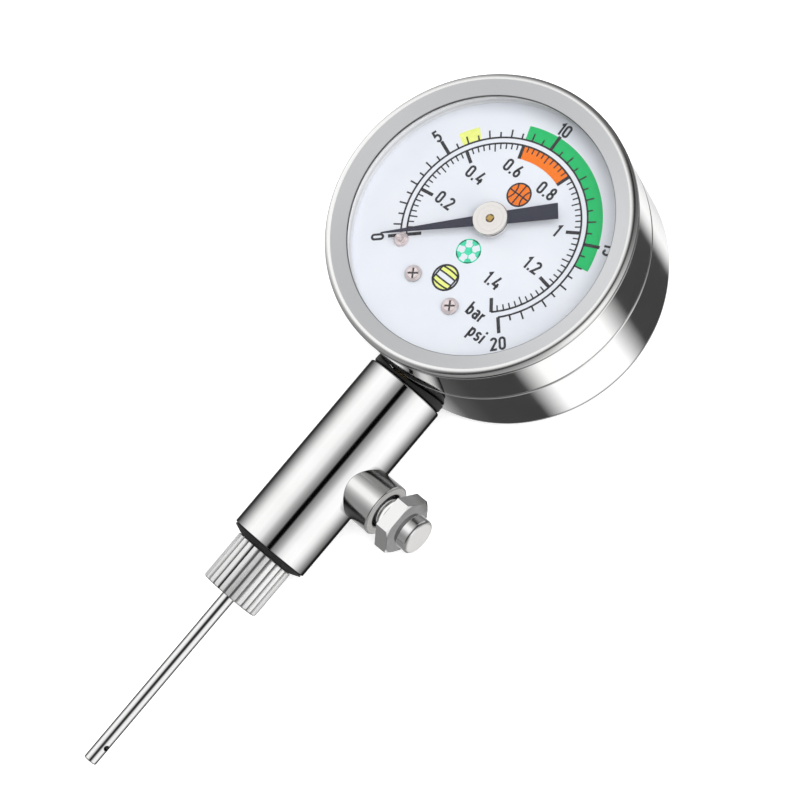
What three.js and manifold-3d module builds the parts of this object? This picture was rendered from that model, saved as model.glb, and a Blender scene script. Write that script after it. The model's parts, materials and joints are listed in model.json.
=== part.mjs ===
// Ball pressure gauge: a Bourdon gauge head on a chromed stem with a bleed valve and an inflation needle.
// Millimetres. The gauge lies on its back: the origin is the centre of the flat back of the case,
// +Z goes out through the dial, +Y is the top of the dial, and the stem and needle run along -Y.

import * as THREE from 'three';
import { mergeVertices } from 'three/addons/utils/BufferGeometryUtils.js';
import Module from 'manifold-3d';

const wasm = await Module();
wasm.setup();

// ---------- driving dimensions ----------

const GAP = 0.3;                    // clearance between neighbouring pieces
const FULL_TURN = 2 * Math.PI;
const DEGREE = Math.PI / 180;

const CASE_RADIUS = 22.8;
const CASE_WALL = 1.6;
const CASE_EDGE_ROUND = 3.0;
const CASE_SHOULDER = 14.25;        // height where the case steps in for the bezel
const NECK_OUTER_RADIUS = 21.6;
const NECK_INNER_RADIUS = 20.8;
const NECK_TOP = 20.8;

const BEZEL_RADIUS = 23.0;
const BEZEL_SKIRT_RADIUS = 22.8;
const BEZEL_TOP = 25.0;
const BEZEL_OPENING = 19.7;
const BEZEL_INNER_RADIUS = 21.9;

const LENS_TOP = 23.6;
const LENS_THICKNESS = 1.1;
const LENS_RADIUS = 21.4;
const GASKET_INNER_RADIUS = 20.0;

const DIAL_TOP = 19.4;
const DIAL_THICKNESS = 0.5;
const DIAL_RADIUS = 20.5;
const DIAL_ARBOR_HOLE = 1.3;
const POINTER_AXIS_Y = 1.75;        // the pointer sits a little above the middle of the case
const ZERO_ANGLE = 222.7 * DEGREE;  // direction of the pointer at rest
const POINTER_TIP_LENGTH = 16.4;
const POINTER_TAIL_LENGTH = 9.85;
const BLADE_HEIGHT = 2.0;           // underside of the pointer blade above the dial
const BLADE_THICKNESS = 0.25;
const BLADE_COLLAR_RADIUS = 2.4;
const HUB_HEIGHT = 2.7;             // top of the pointer hub above the dial
const HUB_RADIUS = 2.6;
const HUB_BORE = 1.0;
const HUB_TOP_BORE = 0.8;           // a narrower hole in the cap, round the square end of the arbor
const HUB_CORE_RADIUS = 1.45;       // the part of the hub that passes through the blade
const ARBOR_RADIUS = 0.7;
const STOP_PIN_REACH = 13.7;        // from the pointer axis, beside the resting blade
const STOP_PIN_ANGLE = ZERO_ANGLE + 3.8 * DEGREE;
const STOP_PIN_RADIUS = 0.4;
const STOP_PIN_COLLAR_RADIUS = 1.1;

const STEM_HEIGHT = 8.0;            // height of the stem axis above the back
const TUBE_RADIUS = 6.35;
const TUBE_TOP_Y = -23.55;
const TUBE_BOTTOM_Y = -54.4;
const TUBE_BORE = 2.6;
const AIR_HOLE = 0.8;

const SHANK_RADIUS = 3.2;           // the brass shank that the stem tube screws on to
const SHANK_END_Y = -29.5;
const SEAL_RADIUS = 6.05;

const NUT_TOP_Y = -55.4;
const NUT_BOTTOM_Y = -63.4;
const NUT_RADIUS = 4.8;
const NUT_RIDGES = 26;
const NUT_RIDGE_DEPTH = 0.4;
const NUT_CHAMFER = 0.4;
const WASHER_RADIUS = 6.1;          // against the stem tube
const WASHER_END_RADIUS = 4.6;      // against the nut
const SPIGOT_RADIUS = 3.6;          // the plain end of the nut that sits in the stem tube
const SPIGOT_END_Y = -49.6;

const NEEDLE_RADIUS = 1.05;
const NEEDLE_BORE = 0.55;
const NEEDLE_TIP_Y = -94.6;
const NEEDLE_TOP_Y = -51.0;
const NEEDLE_SIDE_HOLE_FROM_TIP = 3.0;
const NEEDLE_SIDE_HOLE_RADIUS = 0.45;

const VALVE_Y = -39.3;
const BOSS_RADIUS = 4.2;
const BOSS_END_X = 10.5;
const BOSS_BORE = 2.8;
const SPRING_SEAT_X = 4.4;
const VALVE_STEM_RADIUS = 0.8;
const VALVE_PORT = 1.2;
const VALVE_HEAD_RADIUS = 1.5;      // the inner end of the valve stem, which closes the port
const BUTTON_BARREL_X = 9.2;
const BUTTON_BARREL_END_X = 11.1;
const BUTTON_BARREL_RADIUS = 2.3;
const BUTTON_FLANGE_X = 12.4;
const BUTTON_FLANGE_THICKNESS = 2.3;
const BUTTON_FLANGE_CORNER = 4.8;   // from the axis to a corner of the hexagon
const BUTTON_FLANGE_FACE = 4.2;     // radius of the round front left by the chamfer
const BUTTON_FLANGE_CHAMFER = 0.35;
const BUTTON_SHAFT_RADIUS = 1.5;
const BUTTON_NECK_LENGTH = 0.6;
const BUTTON_CAP_RADIUS = 2.85;
const BUTTON_NECK_RADIUS = 2.6;
const BUTTON_END_X = 17.2;
const SPRING_TURNS = 5;
const SPRING_WIRE_RADIUS = 0.22;
const SPRING_COIL_RADIUS = 2.25;

const BOURDON_RADIUS = 16.3;        // middle line of the bent tube
const BOURDON_ROOT_ANGLE = 246 * DEGREE;
const BOURDON_END_ANGLE = 13 * DEGREE;
const BOURDON_WIDTH = 5.0;
const BOURDON_THICKNESS = 1.8;
const BOURDON_WALL = 0.35;

const GEAR_MODULE = 0.35;
const PINION_TEETH = 8;
const SECTOR_FULL_TEETH = 60;       // teeth that a whole sector wheel would have
const SECTOR_TEETH = 9;
const SECTOR_TRAVEL = 36 * DEGREE;
const MESH_ANGLE = -28.7 * DEGREE;  // direction from the pointer axis to the sector axis
const SECTOR_SHAFT_RADIUS = 0.55;
const TAIL_LENGTH = 4.5;
const LINK_LENGTH = 6.5;
const LINK_END_RADIUS = 1.2;

const BLOCK_BOTTOM = CASE_WALL + GAP;
const BLOCK_TOP = 12.7;
const BLOCK_BACK_Y = -9.4;
const BLOCK_FRONT_Y = -19.0;
const BLOCK_HALF_WIDTH = 6.0;
const LOWER_PLATE_BOTTOM = BLOCK_TOP + GAP;
const PLATE_THICKNESS = 0.8;
const PLATE_LEFT = -7.2;
const PLATE_TOP_Y = 7.5;
const PLATE_MARGIN = 1.9;           // from the sector shaft to the right edge of the plates
const PLATE_SHAFT_HOLE = 0.8;
const UPPER_PLATE_BOTTOM = 17.0;
const SECTOR_BOTTOM = 15.0;
const SECTOR_THICKNESS = 0.8;
const LINK_BOTTOM = 14.05;
const LINK_THICKNESS = 0.6;
const TIP_PIN_LOW = 11.9;

// Places of the two dial posts and of the three movement pillars.
const DIAL_POSTS = { left: [-4.4, -11.0], right: [3.4, -11.5] };
const PILLARS = { 1: [-5.5, -2.7], 2: [-5.2, 5.9], 3: [9.9, 4.5] };
const SOCKET_SCREWS = { left: [-4.0, -14.5], right: [4.0, -14.5] };
const SOCKET_SCREW_RADIUS = 0.9;
const SOCKET_SCREW_HEAD_RADIUS = 1.85;
const SOCKET_SCREW_END = 6.0;
const DIAL_SCREW_RADIUS = 0.6;
const DIAL_SCREW_HEAD_RADIUS = 1.25;
const DIAL_POST_RADIUS = 1.75;
const DIAL_POST_STUD_RADIUS = 0.8;
const POST_STUD_END = 9.9;          // height of the lower end of the stud, inside the socket block
const PILLAR_RADIUS = 1.15;
const MOVEMENT_SCREW_RADIUS = 0.5;
const LINK_PIN_RADIUS = 0.4;
const LINK_HOLE_RADIUS = 0.65;

// ---------- sizes worked out from them ----------

const BEZEL_BOTTOM = CASE_SHOULDER + GAP;
const LENS_BOTTOM = LENS_TOP - LENS_THICKNESS;
const DIAL_BOTTOM = DIAL_TOP - DIAL_THICKNESS;
const LOWER_PLATE_TOP = LOWER_PLATE_BOTTOM + PLATE_THICKNESS;
const UPPER_PLATE_TOP = UPPER_PLATE_BOTTOM + PLATE_THICKNESS;
const PINION_PITCH = GEAR_MODULE * PINION_TEETH / 2;
const SECTOR_PITCH = GEAR_MODULE * SECTOR_FULL_TEETH / 2;
const TOOTH_ANGLE = FULL_TURN / SECTOR_FULL_TEETH;
const CENTRE_DISTANCE = PINION_PITCH + SECTOR_PITCH;
const SECTOR_X = CENTRE_DISTANCE * Math.cos(MESH_ANGLE);
const SECTOR_Y = POINTER_AXIS_Y + CENTRE_DISTANCE * Math.sin(MESH_ANGLE);
const TAIL_X = SECTOR_X + TAIL_LENGTH * Math.cos(SECTOR_TRAVEL / 2);
const TAIL_Y = SECTOR_Y - TAIL_LENGTH * Math.sin(SECTOR_TRAVEL / 2);
const TIP_PIN_Y = TAIL_Y + LINK_LENGTH;

// ---------- materials ----------

function metal(colour, roughness) {
  return new THREE.MeshStandardMaterial({ color: colour, roughness, metalness: 1.0 });
}

function plain(colour, roughness) {
  return new THREE.MeshStandardMaterial({ color: colour, roughness, metalness: 0.0 });
}

const chrome = metal(0xe6e6e6, 0.08);
const satinSteel = metal(0xc4c4c0, 0.32);
const brightSteel = metal(0xd4d4d6, 0.18);
const brass = metal(0xc8a550, 0.3);
const bronze = metal(0xb9814c, 0.3);
const springSteel = metal(0x9a9aa0, 0.25);
const blackPaint = plain(0x26262c, 0.45);
const blackRubber = plain(0x141414, 0.8);
const paleRubber = plain(0xd8d8d4, 0.6);
const whiteEnamel = plain(0xf4f4f6, 0.35);
const clearPlastic = new THREE.MeshStandardMaterial({
  color: 0xffffff, roughness: 0.03, metalness: 0.0, transparent: true, opacity: 0.18,
});

// ---------- geometry helpers ----------

// A geometry with position only and its shared vertices merged, ready to be a closed solid.
function weld(geometry) {
  const bare = geometry.index ? geometry.toNonIndexed() : geometry.clone();
  bare.deleteAttribute('normal');
  bare.deleteAttribute('uv');
  return mergeVertices(bare, 1e-4);
}

function toSolid(geometry) {
  const welded = weld(geometry);
  return new wasm.Manifold(new wasm.Mesh({
    numProp: 3,
    vertProperties: new Float32Array(welded.attributes.position.array),
    triVerts: new Uint32Array(welded.index.array),
  }));
}

function fromSolid(solid) {
  const mesh = solid.getMesh();
  const geometry = new THREE.BufferGeometry();
  geometry.setAttribute('position', new THREE.BufferAttribute(new Float32Array(mesh.vertProperties), 3));
  geometry.setIndex(new THREE.BufferAttribute(new Uint32Array(mesh.triVerts), 1));
  geometry.computeVertexNormals();
  return geometry;
}

// Joins the first list of geometries and cuts the second list away.
function carve(joined, cuts = []) {
  let solid = toSolid(joined[0]);
  for (const extra of joined.slice(1)) {
    solid = solid.add(toSolid(extra));
  }
  for (const cut of cuts) {
    solid = solid.subtract(toSolid(cut));
  }
  return fromSolid(solid);
}

// The part of two geometries that lies in both.
function overlap(first, second) {
  return fromSolid(toSolid(first).intersect(toSolid(second)));
}

// Turns a profile of [radius, height] points about Z.
function turned(profile, segments = 48) {
  const points = profile.map(([radius, height]) => new THREE.Vector2(radius, height));
  const geometry = new THREE.LatheGeometry(points, segments);
  geometry.rotateX(Math.PI / 2);
  return geometry;
}

// A solid disc, or a ring when it has an inner radius, from one height to another.
function disc(radius, low, high, segments = 32) {
  return turned([[0, low], [radius, low], [radius, high], [0, high]], segments);
}

function ring(innerRadius, outerRadius, low, high, segments = 48) {
  return turned([
    [innerRadius, low], [outerRadius, low], [outerRadius, high], [innerRadius, high], [innerRadius, low],
  ], segments);
}

// Points of an arc in a turned profile, from one angle to another.
function arc(centreRadius, centreHeight, radius, startDegrees, endDegrees, steps) {
  const points = [];
  for (let step = 0; step <= steps; step += 1) {
    const angle = (startDegrees + (endDegrees - startDegrees) * step / steps) * DEGREE;
    points.push([centreRadius + radius * Math.cos(angle), centreHeight + radius * Math.sin(angle)]);
  }
  return points;
}

// Turns a shape made about Z so that its +Z runs along -Y on the stem axis.
function alongStem(geometry) {
  geometry.rotateX(Math.PI / 2);
  geometry.translate(0, 0, STEM_HEIGHT);
  return geometry;
}

// Turns a shape made about Z so that its +Z runs along +X on the bleed valve axis.
function alongValve(geometry) {
  geometry.rotateY(Math.PI / 2);
  geometry.translate(0, VALVE_Y, STEM_HEIGHT);
  return geometry;
}

function moved(geometry, x, y, z = 0) {
  geometry.translate(x, y, z);
  return geometry;
}

function block(xMin, xMax, yMin, yMax, zMin, zMax) {
  const geometry = new THREE.BoxGeometry(xMax - xMin, yMax - yMin, zMax - zMin);
  return moved(geometry, (xMin + xMax) / 2, (yMin + yMax) / 2, (zMin + zMax) / 2);
}

// A flat plate from an outline of [x, y] points.
function plate(outline, low, high) {
  const shape = new THREE.Shape(outline.map(([x, y]) => new THREE.Vector2(x, y)));
  const geometry = new THREE.ExtrudeGeometry(shape, { depth: high - low, bevelEnabled: false });
  return moved(geometry, 0, 0, low);
}

function roundedRectangle(xMin, xMax, yMin, yMax, corner) {
  const shape = new THREE.Shape();
  shape.absarc(xMax - corner, yMax - corner, corner, 0, Math.PI / 2);
  shape.absarc(xMin + corner, yMax - corner, corner, Math.PI / 2, Math.PI);
  shape.absarc(xMin + corner, yMin + corner, corner, Math.PI, 1.5 * Math.PI);
  shape.absarc(xMax - corner, yMin + corner, corner, 1.5 * Math.PI, FULL_TURN);
  return shape;
}

const group = new THREE.Group();

function addNode(name, geometry, material) {
  const mesh = new THREE.Mesh(geometry, material);
  mesh.name = name;
  group.add(mesh);
  return mesh;
}

// ---------- case, bezel and lens ----------

function makeCase() {
  const innerRadius = NECK_INNER_RADIUS;
  const edge = CASE_EDGE_ROUND;
  const innerEdge = CASE_EDGE_ROUND - CASE_WALL;
  const cup = turned([
    [0, 0],
    ...arc(CASE_RADIUS - edge, edge, edge, -90, 0, 5),
    [CASE_RADIUS, CASE_SHOULDER],
    [NECK_OUTER_RADIUS, CASE_SHOULDER],
    [NECK_OUTER_RADIUS, NECK_TOP],
    [innerRadius, NECK_TOP],
    ...arc(innerRadius - innerEdge, CASE_WALL + innerEdge, innerEdge, 0, -90, 2),
    [0, CASE_WALL],
  ], 56);
  const shankHole = alongStem(disc(SHANK_RADIUS + GAP, 18.5, 25, 28));
  const threadHole = SOCKET_SCREW_RADIUS + GAP + 0.1;
  const headHole = SOCKET_SCREW_HEAD_RADIUS + GAP + 0.05;
  const headDepth = 1.0;
  const screwHoles = Object.values(SOCKET_SCREWS).flatMap(([x, y]) => [
    moved(disc(threadHole, -1, CASE_WALL + 1, 16), x, y),
    moved(disc(headHole, -1, headDepth, 20), x, y),
  ]);
  return carve([cup], [shankHole, ...screwHoles]);
}

// A straight skirt, a bead and a crease round the rim, and a front that slopes in to the opening.
function makeBezel() {
  const skirt = BEZEL_SKIRT_RADIUS;
  const skirtEdge = 0.2;
  const beadLow = BEZEL_TOP - 2.1;
  const beadHigh = BEZEL_TOP - 1.4;
  const beadSlope = 0.2;
  const rimRound = 1.0;
  const frontSlope = 0.8;
  const lipBottom = LENS_TOP + 0.2;
  return turned([
    [BEZEL_INNER_RADIUS, BEZEL_BOTTOM],
    [skirt - skirtEdge, BEZEL_BOTTOM],
    [skirt, BEZEL_BOTTOM + skirtEdge],
    [skirt, beadLow],
    [BEZEL_RADIUS, beadLow + beadSlope],
    [BEZEL_RADIUS, beadHigh],
    [skirt, beadHigh + beadSlope],
    ...arc(BEZEL_RADIUS - rimRound, BEZEL_TOP - rimRound, rimRound, 0, 90, 4),
    [BEZEL_OPENING, BEZEL_TOP - frontSlope],
    [BEZEL_OPENING, lipBottom],
    [BEZEL_INNER_RADIUS, lipBottom],
    [BEZEL_INNER_RADIUS, BEZEL_BOTTOM],
  ], 64);
}

function makeLens() {
  return turned([
    [0, LENS_BOTTOM],
    [LENS_RADIUS, LENS_BOTTOM],
    [LENS_RADIUS, LENS_TOP],
    [0, LENS_TOP],
  ], 48);
}

// A flange that sits on the neck under the lens, and a skirt that reaches down inside to the dial.
function makeLensGasket() {
  const clearance = 0.2;
  const skirtRadius = NECK_INNER_RADIUS - GAP;
  const skirtBottom = DIAL_TOP + clearance;
  const flangeBottom = NECK_TOP + clearance;
  const top = LENS_BOTTOM - clearance;
  return turned([
    [GASKET_INNER_RADIUS, skirtBottom], [skirtRadius, skirtBottom], [skirtRadius, flangeBottom],
    [LENS_RADIUS, flangeBottom], [LENS_RADIUS, top], [GASKET_INNER_RADIUS, top],
    [GASKET_INNER_RADIUS, skirtBottom],
  ], 48);
}

// ---------- dial and pointer ----------

function stopPinPlace() {
  return [
    STOP_PIN_REACH * Math.cos(STOP_PIN_ANGLE),
    POINTER_AXIS_Y + STOP_PIN_REACH * Math.sin(STOP_PIN_ANGLE),
  ];
}

function makeDialPlate() {
  const sheet = disc(DIAL_RADIUS, DIAL_BOTTOM, DIAL_TOP, 56);
  const hole = (radius, [x, y]) => moved(disc(radius, DIAL_BOTTOM - 1, DIAL_TOP + 1, 20), x, y);
  const holes = [
    hole(DIAL_ARBOR_HOLE, [0, POINTER_AXIS_Y]),
    hole(STOP_PIN_RADIUS + 0.2, stopPinPlace()),
    ...Object.values(DIAL_POSTS).map((place) => hole(DIAL_SCREW_RADIUS + GAP, place)),
  ];
  return carve([sheet], holes);
}

// A cross recess for cutting, from the bottom of the cross to above the head.
function crossRecess(halfLength, halfWidth, low, high) {
  return [
    block(-halfLength, halfLength, -halfWidth, halfWidth, low, high),
    block(-halfWidth, halfWidth, -halfLength, halfLength, low, high),
  ];
}

function makeDialScrew([x, y]) {
  const length = 3.1;
  const headBottom = DIAL_TOP + 0.1;
  const headTop = headBottom + 0.6;
  const chamfer = 0.25;
  const screw = turned([
    [0, headBottom - length], [DIAL_SCREW_RADIUS, headBottom - length], [DIAL_SCREW_RADIUS, headBottom],
    [DIAL_SCREW_HEAD_RADIUS, headBottom], [DIAL_SCREW_HEAD_RADIUS, headTop - chamfer],
    [DIAL_SCREW_HEAD_RADIUS - chamfer, headTop], [0, headTop],
  ], 20);
  return moved(carve([screw], crossRecess(0.75, 0.13, headTop - 0.35, headTop + 1)), x, y);
}

// A pin with a collar that rests on the dial, and a tail riveted through it.
function makeStopPin() {
  const [x, y] = stopPinPlace();
  const collar = STOP_PIN_COLLAR_RADIUS;
  const collarBottom = DIAL_TOP + 0.05;
  const collarTop = collarBottom + 0.5;
  const collarChamfer = 0.2;
  const tail = DIAL_BOTTOM - 0.5;
  const top = DIAL_TOP + HUB_HEIGHT - 0.1;
  const endChamfer = 0.1;
  return moved(turned([
    [0, tail], [STOP_PIN_RADIUS, tail], [STOP_PIN_RADIUS, collarBottom],
    [collar, collarBottom], [collar, collarTop - collarChamfer], [collar - collarChamfer, collarTop],
    [STOP_PIN_RADIUS, collarTop], [STOP_PIN_RADIUS, top - endChamfer],
    [STOP_PIN_RADIUS - endChamfer, top], [0, top],
  ], 16), x, y);
}

// The blade is drawn along +X, with its broad tail along -X, and turned to the zero mark.
function makePointerBlade() {
  const low = DIAL_TOP + BLADE_HEIGHT;
  const high = low + BLADE_THICKNESS;
  const oneSide = [[POINTER_TIP_LENGTH, 0.12], [2.0, 0.8], [-2.0, 1.0], [-POINTER_TAIL_LENGTH, 1.22]];
  const otherSide = oneSide.map(([x, y]) => [x, -y]).reverse();
  const blade = plate([...oneSide, ...otherSide], low, high);
  const collar = disc(BLADE_COLLAR_RADIUS, low, high, 32);
  const hole = disc(HUB_CORE_RADIUS + GAP, low - 1, high + 1, 24);
  const geometry = carve([blade, collar], [hole]);
  geometry.rotateZ(ZERO_ANGLE);
  return moved(geometry, 0, POINTER_AXIS_Y);
}

// The hub is a spool: a collar under the blade, a core through it and a flat cap over it.
function makePointerHub() {
  const clearance = 0.15;
  const collarThickness = 0.5;
  const edge = 0.1;
  const collarTop = DIAL_TOP + BLADE_HEIGHT - clearance;
  const collarBottom = collarTop - collarThickness;
  const capBottom = DIAL_TOP + BLADE_HEIGHT + BLADE_THICKNESS + clearance;
  const capTop = DIAL_TOP + HUB_HEIGHT;
  return moved(turned([
    [HUB_BORE, collarBottom], [HUB_RADIUS, collarBottom], [HUB_RADIUS, collarTop],
    [HUB_CORE_RADIUS, collarTop], [HUB_CORE_RADIUS, capBottom], [HUB_RADIUS, capBottom],
    [HUB_RADIUS, capTop - edge], [HUB_RADIUS - edge, capTop], [HUB_TOP_BORE, capTop],
    [HUB_TOP_BORE, capBottom], [HUB_BORE, capBottom], [HUB_BORE, collarBottom],
  ], 36), 0, POINTER_AXIS_Y);
}

// ---------- gear train ----------

// Outline of evenly spaced teeth about the origin, as [x, y] points, with a tooth at the first angle.
function toothPoints(pitchRadius, count, step, firstAngle) {
  const root = pitchRadius - 1.15 * GEAR_MODULE;
  const top = pitchRadius + 0.8 * GEAR_MODULE;
  const points = [];
  for (let tooth = 0; tooth < count; tooth += 1) {
    const middle = firstAngle + tooth * step;
    const flanks = [[root, -0.27], [top, -0.12], [top, 0.12], [root, 0.27]];
    for (const [radius, share] of flanks) {
      const angle = middle + share * step;
      points.push([radius * Math.cos(angle), radius * Math.sin(angle)]);
    }
  }
  return points;
}

function makePinionArbor() {
  const pivotRadius = 0.5;
  const pivotEnd = LOWER_PLATE_BOTTOM - 0.6;
  const pivotChamfer = 0.2;
  const shoulder = LOWER_PLATE_TOP + 0.6;
  const top = DIAL_TOP + HUB_HEIGHT - 0.6;
  const squareHalf = 0.4;
  const squareTop = DIAL_TOP + HUB_HEIGHT + 0.15;
  const toothLength = 0.3;            // how far the pinion stands past the sector on each side
  const shaft = turned([
    [0, pivotEnd], [pivotRadius - pivotChamfer, pivotEnd], [pivotRadius, pivotEnd + pivotChamfer],
    [pivotRadius, shoulder], [ARBOR_RADIUS, shoulder], [ARBOR_RADIUS, top], [0, top],
  ], 20);
  const teeth = plate(toothPoints(PINION_PITCH, PINION_TEETH, FULL_TURN / PINION_TEETH, MESH_ANGLE),
    SECTOR_BOTTOM - toothLength, SECTOR_BOTTOM + SECTOR_THICKNESS + toothLength);
  const squareEnd = block(-squareHalf, squareHalf, -squareHalf, squareHalf, top - 0.2, squareTop);
  return moved(carve([shaft, teeth, squareEnd]), 0, POINTER_AXIS_Y);
}

function makeSectorGear() {
  const low = SECTOR_BOTTOM;
  const high = SECTOR_BOTTOM + SECTOR_THICKNESS;
  const rimInner = SECTOR_PITCH - 1.9;
  const spokeHalf = 0.55;
  const tailHalf = 0.9;
  const arcSteps = 8;
  const towardPinion = MESH_ANGLE + Math.PI;
  // At rest the pinion meshes near the last teeth, half a tooth away from the middle of one.
  const firstTooth = towardPinion - SECTOR_TRAVEL - 1.5 * TOOTH_ANGLE;
  const outline = toothPoints(SECTOR_PITCH, SECTOR_TEETH, TOOTH_ANGLE, firstTooth);
  const lastTooth = firstTooth + (SECTOR_TEETH - 1) * TOOTH_ANGLE;
  for (let step = 0; step <= arcSteps; step += 1) {
    const angle = lastTooth + (firstTooth - lastTooth) * step / arcSteps;
    outline.push([rimInner * Math.cos(angle), rimInner * Math.sin(angle)]);
  }
  const rim = plate(outline, low, high);
  const spokes = [firstTooth, lastTooth].map((angle) => {
    const spoke = block(0, rimInner + 0.5, -spokeHalf, spokeHalf, low, high);
    spoke.rotateZ(angle);
    return spoke;
  });
  const tail = block(0, TAIL_LENGTH, -tailHalf, tailHalf, low, high);
  tail.rotateZ(-SECTOR_TRAVEL / 2);
  const tailEnd = moved(disc(LINK_END_RADIUS, low, high, 20), TAIL_X - SECTOR_X, TAIL_Y - SECTOR_Y);
  const hub = disc(1.9, low, high, 24);
  const shaftHole = disc(SECTOR_SHAFT_RADIUS + GAP, low - 1, high + 1, 20);
  const pinHole = moved(disc(LINK_HOLE_RADIUS, low - 1, high + 1, 16), TAIL_X - SECTOR_X, TAIL_Y - SECTOR_Y);
  const geometry = carve([rim, ...spokes, tail, tailEnd, hub], [shaftHole, pinHole]);
  return moved(geometry, SECTOR_X, SECTOR_Y);
}

function makeSectorShaft() {
  const low = LOWER_PLATE_BOTTOM - 0.5;
  const high = UPPER_PLATE_TOP + 0.4;
  const chamfer = 0.15;
  return moved(turned([
    [0, low], [SECTOR_SHAFT_RADIUS, low], [SECTOR_SHAFT_RADIUS, high - chamfer],
    [SECTOR_SHAFT_RADIUS - chamfer, high], [0, high],
  ], 16), SECTOR_X, SECTOR_Y);
}

// A flat spiral strip about the arbor, wound with an even pitch.
function makeHairspring() {
  const turns = 3;
  const stepsPerTurn = 16;
  const halfStrip = 0.08;
  const innerRadius = 1.3;
  const pitch = 0.85;
  const low = 16.3;
  const height = 0.4;
  const outerSide = [];
  const innerSide = [];
  for (let step = 0; step <= turns * stepsPerTurn; step += 1) {
    const angle = FULL_TURN * step / stepsPerTurn;
    const radius = innerRadius + pitch * step / stepsPerTurn;
    outerSide.push([(radius + halfStrip) * Math.cos(angle), (radius + halfStrip) * Math.sin(angle)]);
    innerSide.push([(radius - halfStrip) * Math.cos(angle), (radius - halfStrip) * Math.sin(angle)]);
  }
  return moved(plate([...outerSide, ...innerSide.reverse()], low, low + height), 0, POINTER_AXIS_Y);
}

// ---------- movement frame ----------

// A plate of the movement, with holes given as [x, y, radius].
function makeMovementPlate(yMin, low, holes) {
  const cornerRadius = 1.6;
  const shape = roundedRectangle(PLATE_LEFT, SECTOR_X + PLATE_MARGIN, yMin, PLATE_TOP_Y, cornerRadius);
  const sheet = new THREE.ExtrudeGeometry(shape, {
    depth: PLATE_THICKNESS, bevelEnabled: false, curveSegments: 5,
  });
  const cuts = holes.map(([x, y, radius]) => moved(disc(radius, low - 1, low + 2, 16), x, y));
  return carve([moved(sheet, 0, 0, low)], cuts);
}

function makeLowerPlate() {
  const posts = Object.values(DIAL_POSTS).map(([x, y]) => [x, y, DIAL_POST_STUD_RADIUS + GAP]);
  return makeMovementPlate(-14.2, LOWER_PLATE_BOTTOM, [
    [0, POINTER_AXIS_Y, PLATE_SHAFT_HOLE], [SECTOR_X, SECTOR_Y, PLATE_SHAFT_HOLE], ...posts,
  ]);
}

function makeUpperPlate() {
  const screws = Object.values(PILLARS).map(([x, y]) => [x, y, MOVEMENT_SCREW_RADIUS + 0.25]);
  return makeMovementPlate(-8.2, UPPER_PLATE_BOTTOM, [
    [0, POINTER_AXIS_Y, ARBOR_RADIUS + 0.25], [SECTOR_X, SECTOR_Y, PLATE_SHAFT_HOLE], ...screws,
  ]);
}

function makePillar([x, y]) {
  const clearance = 0.15;
  const threadRadius = MOVEMENT_SCREW_RADIUS + 0.25;
  const pillar = disc(PILLAR_RADIUS, LOWER_PLATE_TOP + clearance, UPPER_PLATE_BOTTOM - clearance, 6);
  const thread = disc(threadRadius, LOWER_PLATE_TOP + 1.1, UPPER_PLATE_BOTTOM + 1, 16);
  return moved(carve([pillar], [thread]), x, y);
}

function makeMovementScrew([x, y]) {
  const headBottom = UPPER_PLATE_TOP + 0.15;
  const headTop = headBottom + 0.55;
  const headRadius = 1.15;
  const slotHalf = 0.15;
  const end = headBottom - 2.75;
  const screw = turned([
    [0, end], [MOVEMENT_SCREW_RADIUS, end], [MOVEMENT_SCREW_RADIUS, headBottom],
    [headRadius, headBottom], [headRadius, headTop], [0, headTop],
  ], 16);
  const slot = block(-2, 2, -slotHalf, slotHalf, headTop - 0.25, headTop + 1);
  return moved(carve([screw], [slot]), x, y);
}

// A hexagon post with a stud that clamps the lower plate, and a threaded hole for the dial screw.
function makeDialPost([x, y]) {
  const clearance = 0.15;
  const body = disc(DIAL_POST_RADIUS, LOWER_PLATE_TOP + clearance, DIAL_BOTTOM - clearance, 6);
  const stud = disc(DIAL_POST_STUD_RADIUS, POST_STUD_END, LOWER_PLATE_TOP + 0.5, 16);
  const thread = disc(DIAL_SCREW_RADIUS + 0.25, DIAL_BOTTOM - 3.1, DIAL_BOTTOM + 1, 16);
  return moved(carve([body, stud], [thread]), x, y);
}

// ---------- socket block and Bourdon tube ----------

function makeSocketBlock() {
  const side = BLOCK_HALF_WIDTH;
  const body = block(-side, side, BLOCK_FRONT_Y, BLOCK_BACK_Y, BLOCK_BOTTOM, BLOCK_TOP);
  const shankEnd = -SHANK_END_Y;
  const shankChamfer = 0.4;
  const rootHoleY = -13.4;            // where the air turns off to the root of the Bourdon tube
  const shank = alongStem(turned([
    [0, 15], [SHANK_RADIUS, 15], [SHANK_RADIUS, shankEnd - shankChamfer],
    [SHANK_RADIUS - shankChamfer, shankEnd], [0, shankEnd],
  ], 28));
  const airHole = alongStem(disc(AIR_HOLE, -rootHoleY - AIR_HOLE, shankEnd + 10, 16));
  const rootHole = disc(AIR_HOLE, -10, 0.4, 16);
  rootHole.rotateY(Math.PI / 2);
  moved(rootHole, 0, rootHoleY, STEM_HEIGHT);
  const postHoles = Object.values(DIAL_POSTS).map(
    ([x, y]) => moved(disc(DIAL_POST_STUD_RADIUS + GAP, POST_STUD_END - GAP, BLOCK_TOP + 1, 16), x, y),
  );
  const screwHoles = Object.values(SOCKET_SCREWS).map(
    ([x, y]) => moved(disc(SOCKET_SCREW_RADIUS + GAP, 0, SOCKET_SCREW_END + 0.6, 16), x, y),
  );
  return carve([body, shank], [airHole, rootHole, ...postHoles, ...screwHoles]);
}

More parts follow.
